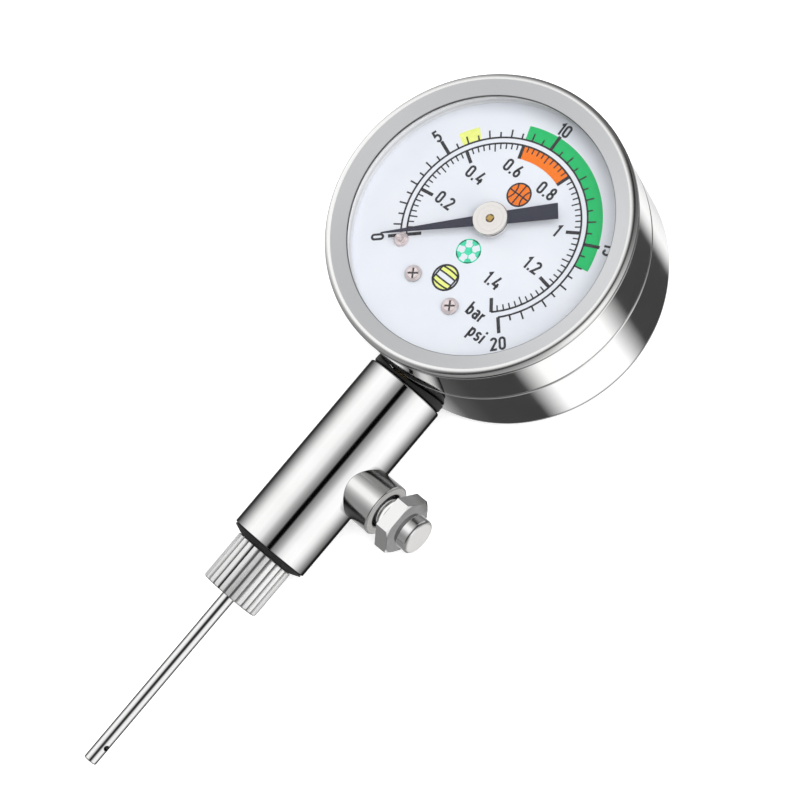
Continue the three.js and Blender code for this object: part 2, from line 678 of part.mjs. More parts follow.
function makeSocketScrew([x, y]) {
  const headLow = 0.1;
  const headHigh = 0.4;
  const coneHigh = 0.75;
  const screw = turned([
    [0, headLow], [SOCKET_SCREW_HEAD_RADIUS, headLow], [SOCKET_SCREW_HEAD_RADIUS, headHigh],
    [SOCKET_SCREW_RADIUS, coneHigh], [SOCKET_SCREW_RADIUS, SOCKET_SCREW_END], [0, SOCKET_SCREW_END],
  ], 20);
  return moved(carve([screw], crossRecess(1.1, 0.18, -1, 0.45)), x, y);
}

function ovalPoints(alongX, alongY, count) {
  const points = [];
  for (let step = 0; step < count; step += 1) {
    const angle = FULL_TURN * step / count;
    points.push(new THREE.Vector2(alongX / 2 * Math.cos(angle), alongY / 2 * Math.sin(angle)));
  }
  return points;
}

// The flattened tube, open at both ends, bent round from the socket block to the tip.
function makeBourdonTube() {
  class BentLine extends THREE.Curve {
    getPoint(share, target = new THREE.Vector3()) {
      const angle = BOURDON_ROOT_ANGLE + (BOURDON_END_ANGLE - BOURDON_ROOT_ANGLE) * share;
      return target.set(BOURDON_RADIUS * Math.cos(angle), BOURDON_RADIUS * Math.sin(angle), STEM_HEIGHT);
    }
  }
  const shape = new THREE.Shape(ovalPoints(BOURDON_WIDTH, BOURDON_THICKNESS, 12));
  const wall = 2 * BOURDON_WALL;
  shape.holes.push(new THREE.Path(ovalPoints(BOURDON_WIDTH - wall, BOURDON_THICKNESS - wall, 12)));
  return new THREE.ExtrudeGeometry(shape, { steps: 28, extrudePath: new BentLine(), bevelEnabled: false });
}

// The block that closes the free end of the tube, with a post for the link pin.
function makeBourdonTip() {
  const low = STEM_HEIGHT - BOURDON_WIDTH / 2;
  const high = STEM_HEIGHT + BOURDON_WIDTH / 2;
  const postRadius = 1.25;
  const cap = block(14.7, 17.6, TIP_PIN_Y - 1.7, TIP_PIN_Y + 2.0, low, high);
  const post = moved(disc(postRadius, low, LINK_BOTTOM - GAP, 20), TAIL_X, TIP_PIN_Y);
  const pinHole = moved(disc(LINK_HOLE_RADIUS, TIP_PIN_LOW - GAP, LINK_BOTTOM, 16), TAIL_X, TIP_PIN_Y);
  return carve([cap, post], [pinHole]);
}

function makeDriveLink() {
  const low = LINK_BOTTOM;
  const high = LINK_BOTTOM + LINK_THICKNESS;
  const halfWidth = 0.7;
  const bar = block(TAIL_X - halfWidth, TAIL_X + halfWidth, TAIL_Y, TIP_PIN_Y, low, high);
  const ends = [TAIL_Y, TIP_PIN_Y].map((y) => moved(disc(LINK_END_RADIUS, low, high, 20), TAIL_X, y));
  const holes = [
    moved(disc(LINK_HOLE_RADIUS, low - 1, high + 1, 16), TAIL_X, TAIL_Y),
    moved(disc(LINK_HOLE_RADIUS + 0.1, low - 1, high + 1, 16), TAIL_X, TIP_PIN_Y),
  ];
  return carve([bar, ...ends], holes);
}

function makeSectorPin() {
  const high = SECTOR_BOTTOM + SECTOR_THICKNESS + 0.1;
  return moved(disc(LINK_PIN_RADIUS, LINK_BOTTOM - 0.1, high, 12), TAIL_X, TAIL_Y);
}

function makeTipPin() {
  const high = LINK_BOTTOM + LINK_THICKNESS + 0.1;
  return moved(disc(LINK_PIN_RADIUS, TIP_PIN_LOW, high, 12), TAIL_X, TIP_PIN_Y);
}

// ---------- stem ----------

// The seal fills the space between the round case and the flat end of the stem tube.
function makeStemSeal() {
  const clearance = 0.15;
  const end = -TUBE_TOP_Y - clearance;
  const blank = alongStem(ring(SHANK_RADIUS + GAP, SEAL_RADIUS, end - 3, end, 40));
  const caseRound = disc(CASE_RADIUS + clearance, -1, CASE_SHOULDER + 1, 112);
  return carve([blank], [caseRound]);
}

function makeStemTube() {
  const top = -TUBE_TOP_Y;
  const bottom = -TUBE_BOTTOM_Y;
  const edge = 0.3;
  const shankFit = SHANK_RADIUS + GAP;
  const shankFitEnd = -SHANK_END_Y + 0.5;
  const spigotFit = SPIGOT_RADIUS + GAP;
  const spigotFitEnd = -SPIGOT_END_Y - 0.6;
  const tube = alongStem(turned([
    [shankFit, top], [TUBE_RADIUS - edge, top], [TUBE_RADIUS, top + edge],
    [TUBE_RADIUS, bottom - edge], [TUBE_RADIUS - edge, bottom], [spigotFit, bottom],
    [spigotFit, spigotFitEnd], [TUBE_BORE, spigotFitEnd],
    [TUBE_BORE, shankFitEnd], [shankFit, shankFitEnd], [shankFit, top],
  ], 40));
  const springHole = alongValve(disc(BOSS_BORE, SPRING_SEAT_X, 12, 24));
  const port = alongValve(disc(VALVE_PORT, 1, 12, 16));
  return carve([tube], [springHole, port]);
}

function makeValveBoss() {
  const root = 3;
  const outerEdge = 0.3;
  const boreEdge = 0.2;
  const boss = alongValve(turned([
    [BOSS_BORE, root], [BOSS_RADIUS, root], [BOSS_RADIUS, BOSS_END_X - outerEdge],
    [BOSS_RADIUS - outerEdge, BOSS_END_X], [BOSS_BORE + boreEdge, BOSS_END_X],
    [BOSS_BORE, BOSS_END_X - boreEdge], [BOSS_BORE, root],
  ], 32));
  const saddle = alongStem(disc(TUBE_RADIUS + 0.2, 20, 60, 40));
  return carve([boss], [saddle]);
}

// A hexagon with corners towards the needle and the case, its front chamfered to a circle.
function makeButtonFlange() {
  const low = BUTTON_FLANGE_X;
  const high = BUTTON_FLANGE_X + BUTTON_FLANGE_THICKNESS;
  const hexagon = disc(BUTTON_FLANGE_CORNER, low, high, 6);
  const beyondCorner = BUTTON_FLANGE_CORNER + 0.1;
  const chamfer = turned([
    [0, low], [beyondCorner, low], [beyondCorner, high - BUTTON_FLANGE_CHAMFER],
    [BUTTON_FLANGE_FACE, high], [0, high],
  ], 48);
  return overlap(hexagon, chamfer);
}

// The valve stem, the barrel that rides in the boss, a shaft to the flange, a neck and the round cap.
function makeValveButton() {
  const headLow = 0.5;
  const headHigh = 0.9;
  const flangeMiddle = BUTTON_FLANGE_X + BUTTON_FLANGE_THICKNESS / 2;
  const neckEnd = BUTTON_FLANGE_X + BUTTON_FLANGE_THICKNESS + BUTTON_NECK_LENGTH;
  const capEdge = 0.35;
  const spindle = turned([
    [0, headLow], [VALVE_HEAD_RADIUS, headLow], [VALVE_HEAD_RADIUS, headHigh],
    [VALVE_STEM_RADIUS, headHigh], [VALVE_STEM_RADIUS, BUTTON_BARREL_X],
    [BUTTON_BARREL_RADIUS, BUTTON_BARREL_X], [BUTTON_BARREL_RADIUS, BUTTON_BARREL_END_X],
    [BUTTON_SHAFT_RADIUS, BUTTON_BARREL_END_X], [BUTTON_SHAFT_RADIUS, flangeMiddle],
    [BUTTON_NECK_RADIUS, flangeMiddle], [BUTTON_NECK_RADIUS, neckEnd], [BUTTON_CAP_RADIUS, neckEnd],
    [BUTTON_CAP_RADIUS, BUTTON_END_X - capEdge], [BUTTON_CAP_RADIUS - capEdge, BUTTON_END_X],
    [0, BUTTON_END_X],
  ], 28);
  return alongValve(carve([spindle, makeButtonFlange()]));
}

// An O-ring on the valve stem, between its head and the port.
function makeValveSeal() {
  const middleRadius = 1.3;
  const middleX = 1.6;
  const sectionRadius = 0.35;
  return alongValve(turned(arc(middleRadius, middleX, sectionRadius, 0, 360, 6), 20));
}

function makeValveSpring() {
  const low = SPRING_SEAT_X + GAP + SPRING_WIRE_RADIUS;
  const high = BUTTON_BARREL_X - GAP - SPRING_WIRE_RADIUS;
  class Helix extends THREE.Curve {
    getPoint(share, target = new THREE.Vector3()) {
      const angle = FULL_TURN * SPRING_TURNS * share;
      const height = low + (high - low) * share;
      return target.set(SPRING_COIL_RADIUS * Math.cos(angle), SPRING_COIL_RADIUS * Math.sin(angle), height);
    }
  }
  const wire = new THREE.Shape(ovalPoints(2 * SPRING_WIRE_RADIUS, 2 * SPRING_WIRE_RADIUS, 5));
  const geometry = new THREE.ExtrudeGeometry(wire, {
    steps: SPRING_TURNS * 12, extrudePath: new Helix(), bevelEnabled: false,
  });
  return alongValve(geometry);
}

// ---------- needle ----------

function makeNeedleWasher() {
  const clearance = 0.2;
  const inner = SPIGOT_RADIUS + GAP;
  const top = -TUBE_BOTTOM_Y + clearance;
  const bottom = -NUT_TOP_Y - clearance;
  const edge = 0.15;
  return alongStem(turned([
    [inner, top], [WASHER_RADIUS, top], [WASHER_RADIUS, top + edge], [WASHER_END_RADIUS, bottom],
    [inner, bottom], [inner, top],
  ], 40));
}

// The nut has coarse straight ridges between two plain chamfered ends, and a round spigot above.
function makeNeedleNut() {
  const top = -NUT_TOP_Y;
  const bottom = -NUT_BOTTOM_Y;
  const outline = [];
  for (let step = 0; step < 2 * NUT_RIDGES; step += 1) {
    const angle = FULL_TURN * step / (2 * NUT_RIDGES);
    const radius = step % 2 === 0 ? NUT_RADIUS : NUT_RADIUS - NUT_RIDGE_DEPTH;
    outline.push([radius * Math.cos(angle), radius * Math.sin(angle)]);
  }
  const ridged = plate(outline, top + NUT_CHAMFER, bottom - NUT_CHAMFER);
  const spigotTop = -SPIGOT_END_Y;
  const coreRadius = NUT_RADIUS - 0.5;
  const coreEdge = 0.3;
  const core = turned([
    [0, spigotTop], [SPIGOT_RADIUS - NUT_CHAMFER, spigotTop], [SPIGOT_RADIUS, spigotTop + NUT_CHAMFER],
    [SPIGOT_RADIUS, top], [coreRadius - coreEdge, top], [coreRadius, top + coreEdge],
    [coreRadius, bottom - coreEdge], [coreRadius - coreEdge, bottom], [0, bottom],
  ], 32);
  const bore = disc(NEEDLE_RADIUS + 0.2, spigotTop - 5, bottom + 5, 20);
  return alongStem(carve([core, ridged], [bore]));
}

function makeNeedle() {
  const tube = alongStem(ring(NEEDLE_BORE, NEEDLE_RADIUS, -NEEDLE_TOP_Y, -NEEDLE_TIP_Y, 24));
  const sideHole = disc(NEEDLE_SIDE_HOLE_RADIUS, 0, 3, 12);
  sideHole.rotateY(Math.PI / 2 - 20 * DEGREE);
  moved(sideHole, 0, NEEDLE_TIP_Y + NEEDLE_SIDE_HOLE_FROM_TIP, STEM_HEIGHT);
  return carve([tube], [sideHole]);
}

// ---------- assembly ----------

addNode('case', makeCase(), chrome);
addNode('bezel_ring', makeBezel(), satinSteel);
addNode('lens', makeLens(), clearPlastic);
addNode('lens_gasket', makeLensGasket(), paleRubber);

addNode('dial_plate', makeDialPlate(), whiteEnamel);
addNode('pointer_stop_pin', makeStopPin(), brightSteel);
addNode('pointer_blade', makePointerBlade(), blackPaint);
addNode('pointer_hub', makePointerHub(), brightSteel);
for (const [side, place] of Object.entries(DIAL_POSTS)) {
  addNode(`dial_screw_${side}`, makeDialScrew(place), brightSteel);
  addNode(`dial_post_${side}`, makeDialPost(place), brass);
}

addNode('pinion_arbor', makePinionArbor(), brass);
addNode('sector_gear', makeSectorGear(), brass);
addNode('sector_shaft', makeSectorShaft(), springSteel);
addNode('sector_pin', makeSectorPin(), springSteel);
addNode('drive_link', makeDriveLink(), brass);
addNode('hairspring', makeHairspring(), bronze);
addNode('movement_lower_plate', makeLowerPlate(), brass);
addNode('movement_upper_plate', makeUpperPlate(), brass);
for (const [number, place] of Object.entries(PILLARS)) {
  addNode(`movement_pillar_${number}`, makePillar(place), brass);
  addNode(`movement_screw_${number}`, makeMovementScrew(place), brightSteel);
}

addNode('socket_block', makeSocketBlock(), brass);
for (const [side, place] of Object.entries(SOCKET_SCREWS)) {
  addNode(`socket_screw_${side}`, makeSocketScrew(place), brightSteel);
}
addNode('bourdon_tube', makeBourdonTube(), bronze);
addNode('bourdon_tip', makeBourdonTip(), brass);
addNode('tip_pin', makeTipPin(), springSteel);

addNode('stem_seal', makeStemSeal(), blackRubber);
addNode('stem_tube', makeStemTube(), chrome);
addNode('valve_boss', makeValveBoss(), chrome);
addNode('valve_button', makeValveButton(), chrome);
addNode('valve_spring', makeValveSpring(), springSteel);
addNode('valve_seal', makeValveSeal(), blackRubber);

addNode('needle_washer', makeNeedleWasher(), blackRubber);
addNode('needle_nut', makeNeedleNut(), chrome);
addNode('needle', makeNeedle(), brightSteel);

export default group;
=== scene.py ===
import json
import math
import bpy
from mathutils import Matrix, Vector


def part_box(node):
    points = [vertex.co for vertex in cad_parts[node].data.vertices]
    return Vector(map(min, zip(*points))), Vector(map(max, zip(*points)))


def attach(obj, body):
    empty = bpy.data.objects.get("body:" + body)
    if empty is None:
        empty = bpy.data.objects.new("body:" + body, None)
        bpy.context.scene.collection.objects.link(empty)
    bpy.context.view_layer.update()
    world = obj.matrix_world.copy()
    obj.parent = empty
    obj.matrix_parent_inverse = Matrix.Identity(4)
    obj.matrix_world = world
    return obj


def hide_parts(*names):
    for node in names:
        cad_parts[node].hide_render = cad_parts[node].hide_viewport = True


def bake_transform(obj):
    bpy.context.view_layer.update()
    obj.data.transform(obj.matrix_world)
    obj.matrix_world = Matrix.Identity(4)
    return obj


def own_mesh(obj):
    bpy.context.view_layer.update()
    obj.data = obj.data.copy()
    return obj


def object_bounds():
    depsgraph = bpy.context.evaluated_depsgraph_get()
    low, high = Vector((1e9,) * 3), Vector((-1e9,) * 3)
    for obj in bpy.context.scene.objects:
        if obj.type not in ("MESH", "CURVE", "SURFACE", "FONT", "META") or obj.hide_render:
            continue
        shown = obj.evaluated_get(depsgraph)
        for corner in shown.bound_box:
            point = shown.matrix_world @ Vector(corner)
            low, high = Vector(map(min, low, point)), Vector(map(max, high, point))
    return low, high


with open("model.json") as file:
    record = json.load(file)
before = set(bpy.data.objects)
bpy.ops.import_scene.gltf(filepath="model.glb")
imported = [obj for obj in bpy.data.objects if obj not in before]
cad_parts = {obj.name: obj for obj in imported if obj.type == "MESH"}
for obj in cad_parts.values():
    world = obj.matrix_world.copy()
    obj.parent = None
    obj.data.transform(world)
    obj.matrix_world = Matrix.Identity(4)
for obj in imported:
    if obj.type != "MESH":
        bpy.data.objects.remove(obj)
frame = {"nodes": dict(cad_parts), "record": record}
cad_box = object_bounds()

# Ball pressure gauge: the fine surfaces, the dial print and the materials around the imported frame.
# Shapes are worked out in millimetres in the frame's own axes, and every mesh is written in metres:
# +Z out of the dial, +Y to the top of the dial, the stem along -Y and the bleed button along +X.

from types import SimpleNamespace

import bmesh
import bpy
from mathutils import Matrix, Vector

MM = 0.001
FULL_TURN = 2 * math.pi
SHARP_DEGREES = 32        # edges bent by more than this are drawn sharp
GAP = 0.3                 # clearance between neighbouring pieces, as in the frame


def span(node):
    """The box of a CAD node, in millimetres."""
    low, high = (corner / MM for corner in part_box(node))
    return SimpleNamespace(low=low, high=high, centre=(low + high) / 2, size=high - low)


case = span("case")
bezel = span("bezel_ring")
lens = span("lens")
gasket = span("lens_gasket")
dial = span("dial_plate")
hub = span("pointer_hub")
blade = span("pointer_blade")
stop_pin = span("pointer_stop_pin")
seal = span("stem_seal")
tube = span("stem_tube")
boss = span("valve_boss")
button = span("valve_button")
spring = span("valve_spring")
washer = span("needle_washer")
nut = span("needle_nut")
needle = span("needle")

STEM_Z = needle.centre.z
VALVE_Y = boss.centre.y
POINTER_X = hub.centre.x
POINTER_Y = hub.centre.y
TUBE_RADIUS = tube.size.z / 2


# ---------- turning axes ----------

class Axis:
    """A line that shapes are turned about, with heights along it and angles round it from side."""

    def __init__(self, origin, direction, side):
        self.origin = Vector(origin)
        self.direction = Vector(direction)
        self.side = Vector(side)
        self.across = self.direction.cross(self.side)

    def spoke(self, angle):
        return math.cos(angle) * self.side + math.sin(angle) * self.across

    def at(self, radius, height, angle):
        return self.origin + self.direction * height + self.spoke(angle) * radius

    def circle(self, radius, height, angles):
        return [self.at(radius, height, angle) for angle in angles]


def around(count):
    """Angles evenly round a full turn."""
    return [FULL_TURN * step / count for step in range(count)]


def upright(x, y):
    return Axis((x, y, 0), (0, 0, 1), (1, 0, 0))


CASE_AXIS = upright(0, 0)
POINTER_AXIS = upright(POINTER_X, POINTER_Y)
STEM_AXIS = Axis((0, 0, STEM_Z), (0, -1, 0), (1, 0, 0))
VALVE_AXIS = Axis((0, VALVE_Y, STEM_Z), (1, 0, 0), (0, 0, 1))


# ---------- mesh helpers ----------

def add_to_scene(name, data):
    made = bpy.data.objects.new(name, data)
    bpy.context.scene.collection.objects.link(made)
    return made


def new_piece(name, points, faces, sharp_degrees=SHARP_DEGREES):
    """A smooth-shaded mesh object from points in millimetres, with its edges sharp past an angle."""
    mesh = bpy.data.meshes.new(name)
    mesh.from_pydata([Vector(point) * MM for point in points], [], faces)
    shaped = bmesh.new()
    shaped.from_mesh(mesh)
    bmesh.ops.recalc_face_normals(shaped, faces=shaped.faces)
    shaped.to_mesh(mesh)
    shaped.free()
    mesh.shade_smooth()
    mesh.set_sharp_from_angle(angle=math.radians(sharp_degrees))
    return add_to_scene(name, mesh)


def sheet(rows, wrap=False):
    """Points and faces over rows of points. Each row closes on itself, and a row of one point is a pole."""
    points = [point for row in rows for point in row]
    starts = [sum(len(row) for row in rows[:index]) for index in range(len(rows))]
    faces = []
    pairs = list(zip(range(len(rows)), range(1, len(rows))))
    if wrap:
        pairs.append((len(rows) - 1, 0))
    for first, second in pairs:
        count = max(len(rows[first]), len(rows[second]))
        for column in range(count):
            after = (column + 1) % count
            corners = [
                starts[first] + column % len(rows[first]),
                starts[first] + after % len(rows[first]),
                starts[second] + after % len(rows[second]),
                starts[second] + column % len(rows[second]),
            ]
            faces.append(list(dict.fromkeys(corners)))
    if not wrap:
        for index in (0, len(rows) - 1):
            if len(rows[index]) > 2:
                faces.append([starts[index] + column for column in range(len(rows[index]))])
    return points, faces


def skin(name, rows, wrap=False, **shading):
    return new_piece(name, *sheet(rows, wrap), **shading)


def rounded(corners, closed=False, steps=5, guard=0.12):
    """An outline of (radius, height, fillet) corners with each fillet drawn as an arc.

    A guard point just beyond each end of an arc keeps the shading of the flat next to it flat.
    """
    points = []
    count = len(corners)
    for index, (radius, height, fillet) in enumerate(corners):
        here = Vector((radius, height))
        if fillet == 0 or (not closed and index in (0, count - 1)):
            points.append((radius, height))
            continue
        before = Vector(corners[index - 1][:2]) - here
        after = Vector(corners[(index + 1) % count][:2]) - here
        half = before.angle(after) / 2
        reach = fillet / math.tan(half)
        to_before = before.normalized()
        to_after = after.normalized()
        centre = here + (to_before + to_after).normalized() * (fillet / math.sin(half))
        start = here + to_before * reach - centre
        end = here + to_after * reach - centre
        first = math.atan2(start.y, start.x)
        sweep = math.remainder(math.atan2(end.y, end.x) - first, FULL_TURN)
        if before.length > reach + 3 * guard:
            points.append(tuple(here + to_before * (reach + guard)))
        for step in range(steps + 1):
            angle = first + sweep * step / steps
            points.append((centre.x + fillet * math.cos(angle), centre.y + fillet * math.sin(angle)))
        if after.length > reach + 3 * guard:
            points.append(tuple(here + to_after * (reach + guard)))
    return points


def turned(name, axis, outline, segments=128, closed=False):
    """Turns an outline of (radius, height) points about an axis."""
    rows = []
    for radius, height in outline:
        angles = around(segments) if radius > 0 else [0]
        rows.append(axis.circle(radius, height, angles))
    return skin(name, rows, wrap=closed)


def lathed(name, axis, corners, segments=128, closed=False, **rounding):
    """Turns an outline of rounded corners about an axis."""
    return turned(name, axis, rounded(corners, closed, **rounding), segments, closed)


def rod_cutter(axis, radius, low, high, segments=48):
    return turned("cutter", axis, [(0, low), (radius, low), (radius, high), (0, high)], segments)


def block_cutter(centre, size, turn):
    """A box to cut with, turned about Z."""
    spin = Matrix.Rotation(turn, 3, "Z")
    corners = ((-0.5, -0.5), (0.5, -0.5), (0.5, 0.5), (-0.5, 0.5))
    return skin("cutter", [
        [centre + spin @ Vector((x * size[0], y * size[1], z * size[2])) for x, y in corners]
        for z in (-0.5, 0.5)
    ])


def combine(piece, operation, *others):
    """Cuts, joins or intersects a piece with others, and deletes the others."""
    for other in others:
        step = piece.modifiers.new("combine", "BOOLEAN")
        step.operation = operation
        step.solver = "EXACT"
        step.object = other
    view = bpy.context.evaluated_depsgraph_get()
    mesh = bpy.data.meshes.new_from_object(piece.evaluated_get(view))
    piece.modifiers.clear()
    piece.data = mesh
    mesh.shade_smooth()
    mesh.set_sharp_from_angle(angle=math.radians(SHARP_DEGREES))
    for other in others:
        bpy.data.objects.remove(other)
    return piece


def cut(piece, *cutters):
    combine(piece, "DIFFERENCE", *cutters)


def keep_round(piece, axis, radius):
    """Gives the round side of a cut piece the true normals of its cylinder."""
    mesh = piece.data
    normals = [Vector(corner.vector) for corner in mesh.corner_normals]
    for face in mesh.polygons:
        for corner in face.loop_indices:
            offset = mesh.vertices[mesh.loops[corner].vertex_index].co / MM - axis.origin
            spoke = offset - axis.direction * offset.dot(axis.direction)
            if abs(spoke.length - radius) < 0.02 and spoke.normalized().dot(face.normal) > 0.98:
                normals[corner] = spoke.normalized()
    mesh.normals_split_custom_set(normals)


def install(piece, surface, slot, *replaced, body="gauge_body"):
    """Gives a piece its surface and its place in the frame. A piece that bends has no body of its own."""
    piece.data.materials.clear()
    piece.data.materials.append(surface)
    if body:
        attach(piece, body)
    if replaced:
        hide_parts(*replaced)


# ---------- surfaces ----------

def colour(red, green, blue):
    """A linear colour from the 0 to 255 numbers of a screen colour."""
    linear = [((part / 255 + 0.055) / 1.055) ** 2.4 if part > 10 else part / 255 / 12.92
              for part in (red, green, blue)]
    return (*linear, 1.0)


class Nodes:
    """Short ways to add nodes to a shader tree."""

    def __init__(self, tree):
        self.tree = tree

    def feed(self, socket, value):
        if isinstance(value, bpy.types.NodeSocket):
            self.tree.links.new(value, socket)
        else:
            socket.default_value = value

    def node(self, kind, inputs=None, **settings):
        made = self.tree.nodes.new("ShaderNode" + kind)
        for name, value in settings.items():
            setattr(made, name, value)
        for name, value in (inputs or {}).items():
            self.feed(made.inputs[name], value)
        return made

    def maths(self, operation, first, second=0.0):
        return self.node("Math", {0: first, 1: second}, operation=operation).outputs[0]

    def vector_maths(self, operation, first, second=(0, 0, 0), output="Vector"):
        return self.node("VectorMath", {0: first, 1: second}, operation=operation).outputs[output]

    def times(self, first, second):
        return self.vector_maths("MULTIPLY", first, second)

    def along(self, name, vector):
        return self.node("SeparateXYZ", {"Vector": vector}).outputs[name]

    def mapped(self, value, low, high, from_low=0.3, from_high=0.7, **settings):
        """A number carried from one range to another. Noise mostly stays in the range given here."""
        return self.node("MapRange", {
            "Value": value, "From Min": from_low, "From Max": from_high, "To Min": low, "To Max": high,
        }, **settings).outputs["Result"]

    def mixed(self, share, first, second, kind="FLOAT"):
        """A number or a colour between two, by a share from 0 to 1."""
        return self.node("Mix", {"Factor": share, "A": first, "B": second}, data_type=kind).outputs["Result"]

    def ramp(self, value, stops):
        """A colour for each value from 0 to 1, from stops of a place and a colour."""
        made = self.node("ValToRGB", {"Fac": value})
        elements = made.color_ramp.elements
        for place, _ in stops[1:-1]:
            elements.new(place)
        for element, (place, shade) in zip(elements, stops):
            element.position = place
            element.color = shade
        return made.outputs["Color"]

    def shades(self, value, stops):
        """A grey for each value from 0 to 1, from stops of a place and a brightness."""
        return self.ramp(value, [(place, (bright, bright, bright, 1)) for place, bright in stops])


class Surface(Nodes):
    """A material with one Principled shader."""

    def __init__(self, name, base, metallic, roughness):
        self.material = bpy.data.materials.new(name)
        self.material.use_nodes = True
        super().__init__(self.material.node_tree)
        self.shader = self.tree.nodes["Principled BSDF"]
        self.set("Base Color", colour(*base))
        self.set("Metallic", metallic)
        self.set("Roughness", roughness)
        self.place = self.node("TexCoord").outputs["Object"]

    def set(self, name, value):
        self.feed(self.shader.inputs[name], value)

    def finish(self, base, roughness, relief, depth_mm, strength):
        """Sets the colour, the roughness and the height of the fine relief, and gives the material."""
        self.set("Base Color", base)
        self.set("Roughness", roughness)
        bump = self.node("Bump", {"Height": relief, "Distance": depth_mm * MM, "Strength": strength})
        self.set("Normal", bump.outputs["Normal"])
        return self.material

    def noise(self, per_metre, detail=3.0, vector=None, stretch=None):
        """Noise over the object, with so many features in a metre and a stretch on each axis."""
        place = vector or self.place
        if stretch:
            place = self.times(place, stretch)
        return self.node("TexNoise", {
            "Vector": place, "Scale": per_metre, "Detail": detail, "Roughness": 0.55,
        }).outputs["Fac"]

    def blended(self, share, first, second):
        """A colour between two screen colours, by a share from 0 to 1."""
        return self.ramp(share, [(0, colour(*first)), (1, colour(*second))])

    def about(self, axis):
        """The distance from an axis and the height along it, in metres."""
        flat = Vector((1, 1, 1)) - Vector([abs(part) for part in axis.direction])
        offset = self.vector_maths("SUBTRACT", self.place, axis.origin * MM)
        radius = self.vector_maths("LENGTH", self.times(offset, flat), output="Value")
        return radius, self.vector_maths("DOT_PRODUCT", offset, axis.direction, "Value")

    def tool_marks(self, axis, per_metre=7000.0):
        """Fine rings that a lathe leaves: noise over the distance from an axis and the height on it."""
        radius, height = self.about(axis)
        rings = self.node("CombineXYZ", {"X": radius, "Y": height}).outputs["Vector"]
        return self.noise(per_metre, 2.0, vector=rings)

    def shaded(self, base, stops):
        """A colour that darkens where the surface turns away from the eye."""
        facing = self.node("LayerWeight", {"Blend": 0.5}).outputs["Facing"]
        return self.times(base, self.shades(facing, stops))

    def step(self, value, limit_mm, width_mm):
        """0 below a limit and 1 above it."""
        return self.mapped(value, 0.0, 1.0, (limit_mm - width_mm) * MM, (limit_mm + width_mm) * MM)

    def beyond(self, name, limit_mm, width_mm=0.04):
        """0 below a place on one axis and 1 above it."""
        return self.step(self.along(name, self.place), limit_mm, width_mm)


# Brightness where the surface turns from the eye: 0 is seen square on and 1 along the surface.
EDGE_SHADE = ((0.2, 1.0), (0.29, 0.84), (0.34, 0.72), (0.4, 0.56), (0.47, 0.41), (0.56, 0.28),
              (0.69, 0.16), (1, 0.08))
RIM_SHADE = ((0.4, 1.0), (0.58, 0.8), (0.72, 0.35), (0.85, 0.1))
NUT_SHADE = ((0.45, 1.0), (0.65, 0.75), (0.8, 0.35), (0.95, 0.08))
# The needle's stops also paint a dark reflection line down the middle, where it is seen square on.
NEEDLE_SHADE = ((0.0, 0.12), (0.008, 0.25), (0.03, 1.0), (0.25, 1.0), (0.4, 0.45), (0.55, 0.12), (0.8, 0.06))
EDGE_TINT = (0.25, 0.25, 0.25, 1.0)


def polished(surface, smooth, dull):
    """Polish that varies a little over the part, with faint hair scratches and waviness."""
    cloudy = surface.maths("MULTIPLY", surface.noise(170.0), 0.7)
    hairs = surface.maths("MULTIPLY", surface.noise(2600.0, 2.0, stretch=(1.0, 0.12, 1.0)), 0.3)
    return surface.mapped(surface.maths("ADD", cloudy, hairs), smooth, dull)


def chrome_shell(name, edge_shade=None):
    """Mirror plate. With an edge shade it darkens where it turns away from the eye."""
    surface = Surface(name, (243, 243, 242), 1.0, 0.06)
    cloudy = surface.mapped(surface.noise(90.0), 0.0, 1.0)
    plate = surface.blended(cloudy, (239, 239, 238), (247, 247, 247))
    if edge_shade:
        plate = surface.shaded(plate, edge_shade)
        surface.set("Specular Tint", EDGE_TINT)
    return surface.finish(plate, polished(surface, 0.045, 0.10), surface.noise(420.0, 1.0), 0.004, 0.25)


def satin_bezel():
    """Turned satin on the sloping front, a soft polish on the rounded rim, and mirror polish below, with
    painted shade on the upper rim where it turns from the eye and a painted dark line down the bore of the
    opening.
    """
    surface = Surface("satin_bezel", (222, 223, 226), 1.0, 0.3)
    marks = surface.tool_marks(CASE_AXIS, 14000.0)
    radius, _ = surface.about(CASE_AXIS)
    rim = surface.step(radius, bezel.high.x - BEZEL_RIM_WIDTH, 0.05)
    above = surface.beyond("Z", bezel.high.z - 1.0, 0.2)
    bright = surface.mixed(above, polished(surface, 0.05, 0.09), polished(surface, 0.18, 0.24))
    rough = surface.mixed(rim, surface.mapped(marks, 0.40, 0.52), bright)
    surface.set("Metallic", surface.mixed(rim, 0.6, 1.0))
    metal = surface.blended(rim, (216, 217, 219), (244, 244, 243))
    # Painted shade on the upper rim, darker where it turns from the eye.
    colour_with_painted_shade = surface.mixed(above, metal, surface.shaded(metal, RIM_SHADE), "RGBA")
    # Painted shade: the bore of the opening is darkened to a dark line.
    bore = surface.mapped(radius, 0.12, 1.0, (BEZEL_OPENING + 0.02) * MM, (BEZEL_OPENING + 0.14) * MM)
    relief = surface.maths("MULTIPLY", marks, surface.maths("SUBTRACT", 1.0, rim))
    return surface.finish(surface.times(colour_with_painted_shade, bore), rough, relief, 0.003, 0.5)


